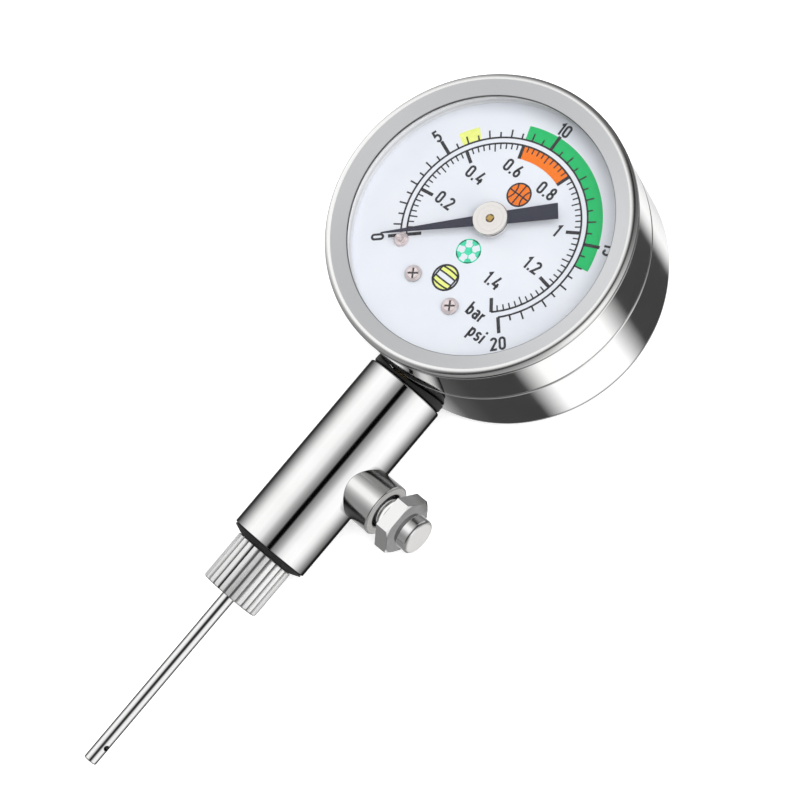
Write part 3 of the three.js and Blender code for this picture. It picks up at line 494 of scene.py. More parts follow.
def chrome_fittings(name, face_height, dull_shaded_from, dull_shaded_to):
    """Bright plate on the valve. The end face and a stretch along the axis are satin with tool marks, and
    the stretch is also darkened with painted shade.
    """
    surface = Surface(name, (240, 240, 239), 1.0, 0.1)
    marks = surface.tool_marks(VALVE_AXIS, 9000.0)
    face = surface.beyond("X", face_height)
    stretch = surface.maths("SUBTRACT", surface.beyond("X", dull_shaded_from), surface.beyond("X", dull_shaded_to))
    worn = surface.maths("MAXIMUM", face, stretch)
    rough = surface.mixed(worn, polished(surface, 0.12, 0.2), surface.mapped(marks, 0.26, 0.4))
    surface.set("Metallic", surface.mixed(worn, 1.0, 0.75))
    plate = surface.blended(face, (240, 240, 239), (214, 213, 211))
    # Painted shade: the base colour along the stretch is darkened to as little as a third, as shade in a
    # recess.
    tarnish_and_recess_shade = surface.mapped(stretch, 1.0, 0.3, 0.0, 1.0)
    return surface.finish(surface.times(plate, tarnish_and_recess_shade), rough, marks, 0.003, 0.5)


def nut_plate():
    """Dull plate with painted shade down in the grooves, darker in some grooves than in others, and painted
    shade where it turns from the eye.
    """
    surface = Surface("nut_plate", (238, 238, 236), 0.6, 0.25)
    worn = surface.noise(900.0, 4.0, stretch=(1.0, 0.2, 1.0))
    plate = surface.shaded(surface.blended(worn, (214, 214, 213), (242, 242, 242)), NUT_SHADE)
    radius, _ = surface.about(STEM_AXIS)
    rim = nut.size.x / 2
    # Painted shade down in the grooves, deeper in some than in others.
    depth = surface.mapped(radius, 1.0, 0.0, (rim - 0.3) * MM, (rim - 0.1) * MM)
    groove_shade_patches = surface.mapped(surface.noise(420.0, 2.0, stretch=(1.0, 0.02, 1.0)), 0.35, 1.0, 0.35, 0.6)
    groove_shade = surface.maths("MULTIPLY", depth, surface.maths("MULTIPLY", groove_shade_patches, 0.92))
    groove_light = surface.maths("SUBTRACT", 1.0, groove_shade)
    return surface.finish(surface.times(plate, groove_light), surface.mapped(worn, 0.2, 0.32), worn, 0.004, 0.4)


def bright_steel(name, axis, base=(226, 226, 226), roughness=(0.10, 0.2)):
    surface = Surface(name, base, 1.0, roughness[0])
    marks = surface.tool_marks(axis)
    return surface.finish(colour(*base), surface.mapped(marks, *roughness), marks, 0.002, 0.35)


def screw_steel(axis, slot_height):
    """Worn pinkish plate on the dial screws and the stop pin, with painted shade below a height in the cross
    slots.
    """
    surface = Surface("screw_steel", (228, 212, 212), 0.5, 0.3)
    marks = surface.tool_marks(axis)
    plate = surface.blended(surface.noise(1500.0, 3.0), (206, 188, 190), (244, 234, 234))
    # Painted shade in the cross slots, below the given height.
    lit = surface.mapped(surface.beyond("Z", slot_height, 0.1), 0.12, 1.0, 0.0, 1.0)
    return surface.finish(surface.times(plate, lit), surface.mapped(marks, 0.22, 0.38), marks, 0.002, 0.3)


def needle_steel():
    surface = Surface("needle_steel", (238, 238, 238), 1.0, 0.1)
    marks = surface.tool_marks(STEM_AXIS)
    bright = surface.blended(marks, (232, 232, 232), (246, 246, 246))
    surface.set("Specular Tint", EDGE_TINT)
    # Painted shade at the edges, and a painted dark reflection line down the middle where the needle faces
    # the eye.
    colour_with_painted_shade = surface.shaded(bright, NEEDLE_SHADE)
    return surface.finish(colour_with_painted_shade, surface.mapped(marks, 0.12, 0.22), marks, 0.002, 0.35)


def rolled_metal(name, base, darker, roughness):
    """Sheet or bar metal of the movement inside: rolling lines, and a cloudy tarnish."""
    surface = Surface(name, base, 1.0, roughness)
    tarnish_and_recess_shade = surface.mapped(surface.noise(260.0, 4.0), 0.0, 1.0)
    lines = surface.noise(3000.0, 2.0, stretch=(0.06, 1.0, 1.0))
    rough = surface.mapped(lines, roughness, roughness + 0.15)
    return surface.finish(surface.blended(tarnish_and_recess_shade, darker, base), rough, lines, 0.003, 0.3)


def rubber(name, base, lighter):
    surface = Surface(name, base, 0.0, 0.7)
    grain = surface.noise(5200.0, 4.0)
    rough = surface.mapped(grain, 0.55, 0.85)
    return surface.finish(surface.blended(grain, base, lighter), rough, grain, 0.01, 0.5)


def pale_rubber():
    """Milky rubber, greyer half-way down with painted shade."""
    surface = Surface("pale_rubber", (235, 236, 238), 0.0, 0.5)
    grain = surface.noise(2400.0, 3.0)
    height = surface.along("Z", surface.place)
    share = surface.mapped(height, 0.0, 1.0, gasket.low.z * MM, gasket.high.z * MM)
    # Painted shade: a grey band half-way up the height, milky white above and below.
    milk_and_shade = surface.ramp(share, [
        (0, colour(246, 246, 247)), (0.5, colour(206, 206, 207)), (1, colour(250, 250, 251)),
    ])
    mottled = surface.times(milk_and_shade, surface.mapped(grain, 0.97, 1.0))
    return surface.finish(mottled, surface.mapped(grain, 0.45, 0.6), grain, 0.006, 0.4)


def dial_enamel():
    surface = Surface("dial_enamel", (216, 219, 227), 0.0, 0.4)
    mottle = surface.mapped(surface.noise(140.0, 3.0), 0.0, 1.0)
    peel = surface.noise(1500.0, 2.0)
    white = surface.blended(mottle, (214, 218, 226), (218, 221, 228))
    return surface.finish(white, surface.mapped(peel, 0.35, 0.5), peel, 0.004, 0.3)


def ink(name, base, thinner):
    """Screen-printed ink, a little thinner in places."""
    surface = Surface(name, base, 0.0, 0.45)
    cover = surface.mapped(surface.noise(1800.0, 4.0), 0.0, 1.0)
    surface.set("Specular IOR Level", 0.08)
    rough = surface.mapped(cover, 0.55, 0.38)
    return surface.finish(surface.blended(cover, thinner, base), rough, cover, 0.003, 0.3)


def pointer_paint():
    surface = Surface("pointer_paint", (28, 30, 46), 0.0, 0.4)
    grain = surface.noise(3800.0, 3.0)
    surface.set("Specular IOR Level", 0.25)
    paint = surface.blended(grain, (22, 24, 40), (40, 43, 62))
    return surface.finish(paint, surface.mapped(grain, 0.4, 0.55), grain, 0.004, 0.4)


def clear_lens():
    """Clear acrylic. Light from lamps passes straight through to the dial."""
    surface = Surface("clear_lens", (255, 255, 255), 0.0, 0.0)
    surface.set("Transmission Weight", 1.0)
    surface.set("IOR", 1.49)
    surface.set("Specular IOR Level", 0.1)
    haze = surface.mapped(surface.noise(60.0), 0.0, 1.0)
    surface.set("Base Color", surface.blended(haze, (252, 253, 254), (255, 255, 255)))
    path = surface.node("LightPath").outputs
    soft = surface.maths("MAXIMUM", path["Is Shadow Ray"], path["Is Diffuse Ray"])
    passing = surface.maths("MAXIMUM", soft, path["Is Glossy Ray"])
    straight = surface.node("BsdfTransparent").outputs["BSDF"]
    both = surface.node("MixShader", {0: passing, 1: surface.shader.outputs["BSDF"], 2: straight})
    surface.feed(surface.tree.nodes["Material Output"].inputs["Surface"], both.outputs["Shader"])
    return surface.material


# ---------- case, bezel and lens ----------

CASE_WALL = 1.6
CASE_EDGE_ROUND = 3.0
SCREW_RECESS = 1.0
SCREW_HOLE = 1.3
NECK_OUTER_RADIUS = 21.6
NECK_INNER_RADIUS = 20.8
BEZEL_OPENING = 19.7
BEZEL_RIM_WIDTH = 1.05        # the flat and rounded rim outside the sloping front
BEZEL_SLOPE = 0.8             # how far the front falls from the rim to the opening
BEAD_LOW = 1.9                # the bead and the crease over it, measured down from the rim
BEAD_HIGH = 1.42
CREASE = 1.24
ARBOR_HOLE = 1.3


def make_case(surface):
    radius = case.high.x
    shoulder = bezel.low.z - GAP
    top = case.high.z
    piece = lathed("case_shell", CASE_AXIS, [
        (0, 0, 0), (radius, 0, CASE_EDGE_ROUND), (radius, shoulder, 0.25), (NECK_OUTER_RADIUS, shoulder, 0),
        (NECK_OUTER_RADIUS, top, 0.15), (NECK_INNER_RADIUS, top, 0.15),
        (NECK_INNER_RADIUS, CASE_WALL, CASE_EDGE_ROUND - CASE_WALL), (0, CASE_WALL, 0),
    ], 256, steps=12)
    cutters = []
    for side in ("left", "right"):
        screw = span(f"socket_screw_{side}")
        axis = upright(screw.centre.x, screw.centre.y)
        cutters.append(rod_cutter(axis, screw.size.x / 2 + GAP, -1, SCREW_RECESS))
        cutters.append(rod_cutter(axis, SCREW_HOLE, SCREW_RECESS / 2, CASE_WALL + 1))
    cut(piece, *cutters)
    install(piece, surface, "chrome_shell", "case")


def make_bezel(surface):
    """Front cone, rounded rim, crease and bead, and a straight skirt."""
    rim = bezel.high.x
    skirt = rim - 0.2
    bottom = bezel.low.z
    top = bezel.high.z
    inner = NECK_OUTER_RADIUS + GAP
    lip = lens.high.z + 0.2
    piece = lathed("bezel_shell", CASE_AXIS, [
        (inner, bottom, 0.1), (skirt, bottom, 0.25), (skirt, top - BEAD_LOW - 0.15, 0.12),
        (rim, top - BEAD_LOW, 0.12), (rim, top - BEAD_HIGH, 0.12), (skirt - 0.1, top - CREASE, 0.04),
        (rim, top - CREASE + 0.18, 0.08), (rim, top, 0.8), (rim - BEZEL_RIM_WIDTH, top, 0.2),
        (BEZEL_OPENING, top - BEZEL_SLOPE, 0.1), (BEZEL_OPENING, lip, 0.08), (inner, lip, 0),
    ], 256, closed=True, steps=8)
    install(piece, surface, "satin_bezel", "bezel_ring")


def make_disc(name, box, edge_round):
    radius = box.high.x
    low = box.low.z
    high = box.high.z
    return lathed(name, CASE_AXIS, [
        (0, low, 0), (radius, low, edge_round), (radius, high, edge_round), (0, high, 0),
    ], 192)


def make_lens(surface):
    install(make_disc("lens_disc", lens, 0.15), surface, "clear_lens", "lens")


def make_gasket(surface):
    """A flange under the lens, and a skirt that reaches down inside the neck to the dial."""
    low = gasket.low.z
    high = gasket.high.z
    outer = gasket.high.x
    skirt = NECK_INNER_RADIUS - GAP
    inner = skirt - 0.5
    flange = case.high.z + 0.2
    piece = lathed("lens_gasket_ring", CASE_AXIS, [
        (inner, low, 0.1), (skirt, low, 0.1), (skirt, flange, 0), (outer, flange, 0.15), (outer, high, 0.15),
        (inner, high, 0.15),
    ], 160, closed=True)
    install(piece, surface, "pale_rubber", "lens_gasket")


def make_dial_plate(surface):
    piece = make_disc("dial_disc", dial, 0.1)
    cut(piece, rod_cutter(POINTER_AXIS, ARBOR_HOLE, dial.low.z - 1, dial.high.z + 1))
    install(piece, surface, "dial_enamel", "dial_plate")


# ---------- dial print ----------

PRINT_X = POINTER_X + 0.45    # the scales are printed about a point just below and beside the arbor
PRINT_Y = POINTER_Y - 0.5
INK_DEPTH = 0.02              # how far each layer of ink stands above the one below
PSI_ARC = 13.8
BAR_ARC = 12.9
ARC_LINE = 0.27
BOLD_TICK = 0.5
PSI_TICK = 0.24
BAR_TICK = 0.2
BAND_WIDTH = 2.1
ZERO_CLOCK = -130.5           # degrees clockwise from the top of the dial
MIDDLE_BAR = 0.7              # the scale is a little wider above the middle than below
MIDDLE_CLOCK = -1.8
LOW_BAR_DEGREES = 193.0       # degrees for each bar below the middle
HIGH_BAR_DEGREES = 202.0      # and above it
FULL_BAR = 1.4
FULL_PSI = 20
BAR_PER_PSI = 0.068948
LETTER_HEIGHT = 2.0
LETTER_STROKE = 0.34
LETTER_SPACE = 0.26           # as a share of the height
LABEL_RADIUS = 17.3


def bearing(turn):
    """A unit vector on the dial, by its angle clockwise from the top."""
    return Vector((math.sin(turn), math.cos(turn)))


def spot(x, y):
    """A point of the dial, by its place from the middle of the print."""
    return Vector((PRINT_X + x, PRINT_Y + y))


def on_dial(radius, clock):
    """A point of the dial, by its radius and its degrees clockwise from the top."""
    return spot(*(radius * bearing(math.radians(clock))))


def bar_clock(pressure):
    slope = HIGH_BAR_DEGREES if pressure > MIDDLE_BAR else LOW_BAR_DEGREES
    return MIDDLE_CLOCK + slope * (pressure - MIDDLE_BAR)


def psi_clock(pressure):
    return bar_clock(pressure * BAR_PER_PSI)


class Print:
    """Thin solid strips and patches of ink that stand on the dial."""

    def __init__(self, layer=1):
        self.low = dial.high.z - 0.01
        self.high = dial.high.z + layer * INK_DEPTH
        self.points = []
        self.faces = []

    def build(self, rows, closed=False):
        start = len(self.points)
        points, faces = sheet(rows, closed)
        self.points += points
        self.faces += [[start + corner for corner in face] for face in faces]

    def strip(self, left, right, closed=False):
        """A strip between two lines of equally many points."""
        low = self.low
        high = self.high
        self.build([[(*near, low), (*near, high), (*far, high), (*far, low)]
                    for near, far in zip(left, right)], closed)

    def patch(self, outline):
        self.build([[(*point, height) for point in outline] for height in (self.low, self.high)])

    def line(self, path, width, closed=False):
        """A stroke of even width along a path."""
        left = []
        right = []
        count = len(path)
        for index, point in enumerate(path):
            before = path[index - 1] if index or closed else None
            after = path[(index + 1) % count] if index < count - 1 or closed else None
            arms = [(point - before).normalized()] if before is not None else []
            if after is not None:
                arms.append((after - point).normalized())
            along = sum(arms, Vector((0, 0))).normalized()
            side = Vector((-along.y, along.x))
            reach = width / 2 / max(0.5, abs(side.dot(Vector((-arms[0].y, arms[0].x)))))
            left.append(point + side * reach)
            right.append(point - side * reach)
        self.strip(left, right, closed)

    def arc(self, inner, outer, first_clock, last_clock):
        steps = max(2, int(abs(last_clock - first_clock) / 1.5))
        clocks = [first_clock + (last_clock - first_clock) * step / steps for step in range(steps + 1)]
        self.strip([on_dial(outer, clock) for clock in clocks], [on_dial(inner, clock) for clock in clocks])

    def tick(self, clock, inner, outer, width):
        self.line([on_dial(inner, clock), on_dial(outer, clock)], width)

    def finish(self, name, surface):
        piece = new_piece(name, self.points, self.faces, sharp_degrees=20)
        install(piece, surface, "dial_enamel")


def oval(x, y, wide, tall, first=0.0, last=360.0, steps=20):
    """Points of an ellipse arc, in degrees counter-clockwise from its right."""
    points = []
    for step in range(steps + 1):
        angle = math.radians(first + (last - first) * step / steps)
        points.append(Vector((x + wide * math.cos(angle), y + tall * math.sin(angle))))
    return points


def circle(centre, radius):
    return oval(centre.x, centre.y, radius, radius, steps=48)[:-1]


def pen(*points):
    """An open stroke of a letter."""
    return [Vector(point) for point in points], False


def loop(*points):
    """A closed stroke of a letter."""
    return [Vector(point) for point in points], True


def ring(x, y, wide, tall):
    return loop(*oval(x, y, wide, tall)[:-1])


# Letters by their width and strokes, in a box one unit high.
LOW = LETTER_STROKE / LETTER_HEIGHT / 2
TOP = 1 - LOW
WIDE = 0.36
MID = WIDE / 2
SMALL = 0.68
LETTERS = {
    "0": (WIDE, [loop(*oval(MID, TOP - MID, MID, MID, 0, 180), *oval(MID, LOW + MID, MID, MID, 180, 360))]),
    "1": (0.18, [pen((0, 0.76), (0.18, TOP), (0.18, 0))]),
    "2": (WIDE, [pen(*oval(MID, TOP - MID, MID, MID, 170, -30), (0.01, LOW), (WIDE + 0.05, LOW))]),
    "4": (0.40, [pen((0.22, 1), (0, 0.30), (0.45, 0.30)), pen((0.32, 0.52), (0.32, 0))]),
    "5": (WIDE, [pen((0.34, TOP), (0.05, TOP), (0.03, 0.55), *oval(MID, 0.33, MID, 0.27, 120, -150))]),
    "6": (WIDE, [ring(MID, LOW + 0.24, MID, 0.24), pen((0, 0.32), (0.08, 0.62), (0.24, 1))]),
    "8": (WIDE, [ring(MID, 0.72, 0.155, 0.215), ring(MID, LOW + 0.225, MID, 0.225)]),
    ".": (0.06, [pen((0.03, 0), (0.03, 2 * LOW))]),
    "a": (0.32, [ring(0.15, 0.23, 0.15, 0.17), pen(*oval(0.16, 0.50, 0.15, 0.15, 150, 0), (0.31, 0))]),
    "b": (0.32, [pen((0, 1), (0, 0)), ring(0.16, 0.34, 0.16, 0.28)]),
    "i": (0.02, [pen((0.01, SMALL), (0.01, 0)), pen((0.01, 0.84), (0.01, 0.84 + 2 * LOW))]),
    "p": (0.32, [pen((0, SMALL), (0, -0.28)), ring(0.16, 0.34, 0.16, 0.28)]),
    "r": (0.20, [pen((0, SMALL), (0, 0)), pen(*oval(0.17, 0.42, 0.17, 0.2, 180, 80))]),
    "s": (0.28, [pen(*oval(0.14, 0.48, 0.14, 0.14, 30, 240, 12),
                     *oval(0.14, 0.20, 0.14, 0.15, 60, -150, 12))]),
}


def write(marks, text, centre, turn=0.0):
    """Writes text centred on a point of the dial, turned clockwise by so many degrees."""
    widths = [LETTERS[letter][0] for letter in text]
    spin = Matrix.Rotation(-math.radians(turn), 2)
    left = -(sum(widths) + LETTER_SPACE * (len(text) - 1)) / 2
    for letter, width in zip(text, widths):
        for path, closed in LETTERS[letter][1]:
            placed = [Vector((left + point.x, point.y - 0.5)) * LETTER_HEIGHT for point in path]
            marks.line([centre + spin @ point for point in placed], LETTER_STROKE, closed)
        left += width + LETTER_SPACE


def print_scales(surface):
    """The two arcs and their ticks: psi outside, bar inside."""
    marks = Print(layer=2)
    marks.arc(PSI_ARC - ARC_LINE / 2, PSI_ARC + ARC_LINE / 2, ZERO_CLOCK, psi_clock(FULL_PSI))
    marks.arc(BAR_ARC - ARC_LINE / 2, BAR_ARC + ARC_LINE / 2, ZERO_CLOCK, bar_clock(FULL_BAR))
    marks.tick(ZERO_CLOCK, PSI_ARC, PSI_ARC + 1.9, BOLD_TICK)
    marks.tick(ZERO_CLOCK, BAR_ARC - 2.2, BAR_ARC, BOLD_TICK)
    for half in range(2, 2 * FULL_PSI + 1):
        length, width = (0.85, PSI_TICK)
        if half % 10 == 0:
            length, width = (2.4, BOLD_TICK)
        elif half % 2 == 0:
            length = 1.25
        marks.tick(psi_clock(half / 2), PSI_ARC, PSI_ARC + length, width)
    for step in range(3, round(FULL_BAR * 50) + 1):
        length, width = (0.9, BAR_TICK)
        if step % 10 == 0:
            length, width = (BAND_WIDTH, BOLD_TICK)
        elif step % 5 == 0:
            length = 1.25
        marks.tick(bar_clock(step / 50), BAR_ARC - length, BAR_ARC, width)
    marks.finish("dial_scales", surface)


def print_numbers(surface):
    marks = Print(layer=2)
    # The psi numbers by their distance outward, their degrees round the dial and their own turn.
    psi_labels = {
        "0": (0, ZERO_CLOCK, 50), "5": (0, -71, -72), "10": (0, -4, -4), "15": (0.5, 66, 66),
        "20": (0.45, 136, -44),
    }
    for text, (outward, clock, turn) in psi_labels.items():
        write(marks, text, on_dial(LABEL_RADIUS + outward, clock), turn)
    bar_labels = {
        "0.2": (-8.6, -1.1), "0.4": (-7.5, 4.5), "0.6": (-3.6, 8.5), "0.8": (2.8, 8.7),
        "1": (8.0, 5.1), "1.2": (8.6, -1.0), "1.4": (5.4, -6.1), "bar": (6.7, -11.1), "psi": (8.9, -13.4),
    }
    for text, place in bar_labels.items():
        write(marks, text, spot(*place))
    marks.finish("dial_numbers", surface)


def print_bands(green, orange, yellow):
    """Coloured arcs of good pressure for three sorts of ball."""
    wide = Print()
    wide.arc(PSI_ARC, PSI_ARC + 2.2, -21.5, 79.5)
    wide.finish("dial_green_band", green)
    narrow = Print()
    narrow.arc(BAR_ARC - BAND_WIDTH, BAR_ARC, bar_clock(0.6), bar_clock(0.8))
    narrow.finish("dial_orange_band", orange)
    pale = Print()
    pale.arc(PSI_ARC + 0.1, PSI_ARC + BAND_WIDTH, -60.5, -49.0)
    pale.finish("dial_yellow_band", yellow)


def print_basketball(fill, black):
    """A disc with a ring, two straight seams and two bowed ones."""
    radius = 1.85
    seam = 0.22
    centre = spot(-0.15, 5.9)
    body = Print()
    body.patch(circle(centre, radius))
    body.finish("ball_icon_orange", fill)
    lines = Print(layer=2)
    lines.line(circle(centre, radius - 0.1), 0.25, True)
    for spoke in (Vector((radius - 0.1, 0)), Vector((0, radius - 0.1))):
        lines.line([centre - spoke, centre + spoke], seam)
    for side in (-1, 1):
        middle = 90 + side * 90
        lines.line(oval(centre.x + side * 1.9, centre.y, 1.15, 1.7, middle + 52, middle - 52), seam)
    lines.finish("ball_icon_orange_lines", black)


def print_football(fill):
    """A ring, a middle patch and five patches round it."""
    radius = 1.9
    centre = spot(-0.5, -4.9)
    marks = Print()
    marks.line(circle(centre, radius - 0.1), 0.2, True)
    fifths = around(5)
    marks.patch([centre + 0.72 * bearing(turn) for turn in reversed(fifths)])
    edge = ((1.3, -0.30), (1.05, 0.0), (1.3, 0.30), (radius - 0.05, 0.34), (radius - 0.02, 0.0),
            (radius - 0.05, -0.34))
    for turn in fifths:
        marks.patch([centre + reach * bearing(turn + swing) for reach, swing in edge])
        marks.line([centre + 0.7 * bearing(turn), centre + 1.1 * bearing(turn)], 0.16)
    marks.finish("ball_icon_green", fill)


def print_volleyball(fill, black):
    """Yellow bands between curved seams, in a black ring."""
    radius = 2.05
    half_width = 1.42
    seam_width = 0.25
    centre = spot(-0.6, -9.9)

    def seam(height):
        """A curved line across the ball at a height, bowed away from its middle."""
        half = min(half_width, math.sqrt(max(0.01, (radius - 0.15) ** 2 - height ** 2)))
        points = []
        for step in range(13):
            across = -half + 2 * half * step / 12
            bow = 0.22 * (height / radius) * (1 - (across / half) ** 2)
            points.append(centre + Vector((across, height + bow)))
        return points

    bands = Print()
    for low, high in ((-1.75, -1.22), (-1.1, -0.5), (0.5, 1.1), (1.22, 1.75)):
        bands.strip(seam(low), seam(high))
    bands.finish("ball_icon_yellow", fill)
    lines = Print(layer=2)
    lines.line(circle(centre, radius - 0.14), 0.3, True)
    for height in (-1.16, -0.45, 0.45, 1.16):
        lines.line(seam(height), seam_width)
    for side in (-1, 1):
        edge = oval(0, 0, 0.1, 1.3, -80, 80, 12)
        lines.line([centre + Vector((side * (half_width + point.x), point.y)) for point in edge], seam_width)
    lines.finish("ball_icon_yellow_lines", black)


# ---------- screws, stop pin and pointer ----------

SCREW_SHANK = 0.6
SLOT_WIDTH = 0.3
SLOT_LENGTH = 1.6
SLOT_DEPTH = 0.5
SLOT_TURN = 35.0              # degrees of the screws' cross slots from +X
PIN_RADIUS = 0.4
POINTER_ANGLE = math.radians(222.7)
POINTER_TIP = 16.4
POINTER_TAIL = 9.85
TIP_HALF_WIDTH = 0.1
TAIL_HALF_WIDTH = 1.22
POINTER_COLLAR = 2.4
POINTER_HOLE = 1.75
HUB_CORE = 1.45
HUB_BORE = 1.0
HUB_TOP_BORE = 0.6


def make_dial_screw(side):
    """A domed head with a cross slot, on a plain shank."""
    node = f"dial_screw_{side}"
    screw = span(node)
    axis = upright(screw.centre.x, screw.centre.y)
    radius = screw.size.x / 2
    top = screw.high.z
    seat = top - 0.6
    piece = lathed(f"dial_screw_head_{side}", axis, [
        (0, screw.low.z, 0), (SCREW_SHANK, screw.low.z, 0.1), (SCREW_SHANK, seat, 0), (radius, seat, 0.08),
        (radius, top - 0.22, 0.2), (radius * 0.62, top, 0.5), (0, top, 0),
    ], 64, steps=8)
    size = (SLOT_LENGTH, SLOT_WIDTH, 2 * SLOT_DEPTH)
    cutters = []
    for turn in (SLOT_TURN, SLOT_TURN + 90):
        cutters.append(block_cutter(axis.at(0, top, 0), size, math.radians(turn)))
    cut(piece, *cutters)
    install(piece, screw_steel(axis, top - 0.34), "bright_steel", node)


def make_stop_pin():
    """A pin with a low collar that rests on the dial."""
    axis = upright(stop_pin.centre.x, stop_pin.centre.y)
    radius = stop_pin.size.x / 2
    low = stop_pin.low.z
    top = stop_pin.high.z
    collar = dial.high.z + 0.05
    piece = lathed("stop_pin", axis, [
        (0, low, 0), (PIN_RADIUS, low, 0.08), (PIN_RADIUS, collar, 0), (radius, collar, 0.05),
        (radius, collar + 0.5, 0.25), (PIN_RADIUS, collar + 0.5, 0.06), (PIN_RADIUS, top, 0.2), (0, top, 0),
    ], 56, steps=6)
    install(piece, screw_steel(axis, dial.low.z), "bright_steel", "pointer_stop_pin")


def make_blade(surface):
    """A thin blade: a long tapering tip, a round collar under the hub and a broad tail."""
    tip_edge = math.asin(0.8 / POINTER_COLLAR)
    tail_edge = math.pi - math.asin(1.0 / POINTER_COLLAR)
    collar = [tip_edge + (tail_edge - tip_edge) * step / 16 for step in range(17)]
    half = [(POINTER_COLLAR * math.cos(angle), POINTER_COLLAR * math.sin(angle)) for angle in collar]
    half = [(POINTER_TIP, TIP_HALF_WIDTH), *half, (-POINTER_TAIL, TAIL_HALF_WIDTH)]
    outline = half + [(x, -y) for x, y in reversed(half)]
    spin = Matrix.Rotation(POINTER_ANGLE, 2)
    placed = [spin @ Vector(point) + Vector((POINTER_X, POINTER_Y)) for point in outline]
    count = len(placed)
    points = [(*point, height) for height in (blade.low.z, blade.high.z) for point in placed]
    faces = [list(range(count))[::-1], list(range(count, 2 * count))]
    for index in range(count):
        after = (index + 1) % count
        faces.append((index, after, count + after, count + index))
    piece = new_piece("pointer_arm", points, faces)
    cut(piece, rod_cutter(POINTER_AXIS, POINTER_HOLE, blade.low.z - 1, blade.high.z + 1))
    edge = piece.modifiers.new("edge", "BEVEL")
    edge.width = 0.05 * MM
    edge.segments = 2
    edge.limit_method = "ANGLE"
    edge.harden_normals = True
    install(piece, surface, "pointer_paint", "pointer_blade", body="pointer")


def make_hub(surface):
    """A spool: a collar under the blade, a core through it and a flat cap with a narrow hole over it."""
    radius = hub.size.x / 2
    low = hub.low.z
    top = hub.high.z
    collar = blade.low.z - 0.15
    cap = blade.high.z + 0.15
    piece = lathed("pointer_cap", POINTER_AXIS, [
        (HUB_BORE, low, 0.05), (radius, low, 0.12), (radius, collar, 0.08), (HUB_CORE, collar, 0),
        (HUB_CORE, cap, 0), (radius, cap, 0.05), (radius, top, 0.12), (HUB_TOP_BORE, top, 0.06),
        (HUB_TOP_BORE, cap + 0.1, 0), (HUB_BORE, cap + 0.1, 0),
    ], closed=True, guard=0.08)
    install(piece, surface, "bright_steel", "pointer_hub", body="pointer")


# ---------- stem and bleed valve ----------

SEAL_CLEARANCE = 0.15
SHANK_HOLE = 3.5
SHANK_DEPTH = 6.45
STEM_BORE = 2.6
SPIGOT_HOLE = 3.9
BOSS_RADIUS = boss.size.z / 2
BOSS_BORE = 2.8
BUTTON_FOOT = 1.5
BUTTON_BARREL = 2.3
BUTTON_SHAFT = 1.5
BUTTON_NECK = 2.6
BUTTON_CAP = 2.85
FOOT_LENGTH = 0.4
BARREL_LENGTH = 1.9
SHAFT_LENGTH = 1.3
VALVE_STEM = 0.8
FLANGE_LENGTH = 2.3
FLANGE_CHAMFER = 0.35         # along the axis
FLANGE_FACE_INSET = 0.6       # from the corners in to the round of the front face
NECK_LENGTH = 0.6
CAP_LENGTH = 1.9
SPRING_WIRE = 0.22
SPRING_TURNS = 5


def make_seal(surface):
    """A thick washer, flat against the stem and hollowed to the round of the case."""
    outer = seal.size.x / 2
    end = -seal.low.y
    hollow = case.high.x + SEAL_CLEARANCE
    angles = around(96)

    def against_case(radius, inset=0.0):
        heights = [math.sqrt(hollow ** 2 - (radius * math.cos(angle)) ** 2) + inset for angle in angles]
        return [STEM_AXIS.at(radius, height, angle) for height, angle in zip(heights, angles)]

    rows = [against_case(SHANK_HOLE), against_case(outer - 0.1), against_case(outer, 0.1)]
    for radius, height in ((outer, end - 0.12), (outer - 0.12, end), (SHANK_HOLE, end)):
        rows.append(STEM_AXIS.circle(radius, height, angles))
    piece = skin("stem_seal_ring", rows, wrap=True)
    install(piece, surface, "black_rubber", "stem_seal")


def make_stem_tube(surface):
    top = -tube.high.y
    bottom = -tube.low.y
    spigot_end = -nut.high.y - 0.6
    shank_end = top + SHANK_DEPTH
    hole_edge = BOSS_BORE + 0.2
    piece = lathed("stem_body", STEM_AXIS, [
        (SHANK_HOLE, top, 0.1), (TUBE_RADIUS, top, 0.3), (TUBE_RADIUS, -VALVE_Y - hole_edge, 0),
        (TUBE_RADIUS, -VALVE_Y + hole_edge, 0), (TUBE_RADIUS, bottom, 0.15),
        (SPIGOT_HOLE, bottom, 0.15), (SPIGOT_HOLE, spigot_end, 0), (STEM_BORE, spigot_end, 0),
        (STEM_BORE, shank_end, 0), (SHANK_HOLE, shank_end, 0),
    ], 192, closed=True, steps=8)
    cut(piece, rod_cutter(VALVE_AXIS, BOSS_BORE, spring.low.x - 0.1, TUBE_RADIUS + 1))
    keep_round(piece, STEM_AXIS, TUBE_RADIUS)
    install(piece, surface, "chrome_shell", "stem_tube")


def make_boss(surface):
    """A short tube whose root follows the round of the stem."""
    end = boss.high.x
    shoulder = end - 0.35
    angles = around(128)

    def root(radius, angle):
        return math.sqrt((TUBE_RADIUS + 0.05) ** 2 - (radius * math.cos(angle)) ** 2)

    def ring_toward(radius, share, toward):
        return [VALVE_AXIS.at(radius, root(radius, angle) + (toward - root(radius, angle)) * share, angle)
                for angle in angles]

    rows = [ring_toward(BOSS_BORE, 0.0, end), ring_toward(BOSS_RADIUS, 0.0, end)]
    rows += [ring_toward(BOSS_RADIUS, share, shoulder) for share in (0.03, 0.35, 0.7, 1.0)]
    mouth = rounded([
        (BOSS_RADIUS, shoulder, 0), (BOSS_RADIUS, end, 0.3), (BOSS_BORE, end, 0.25),
        (BOSS_BORE, end - 0.6, 0),
    ])
    rows += [VALVE_AXIS.circle(radius, height, angles) for radius, height in mouth[1:]]
    piece = skin("valve_sleeve", rows, wrap=True)
    install(piece, surface, "chrome_fittings", "valve_boss")


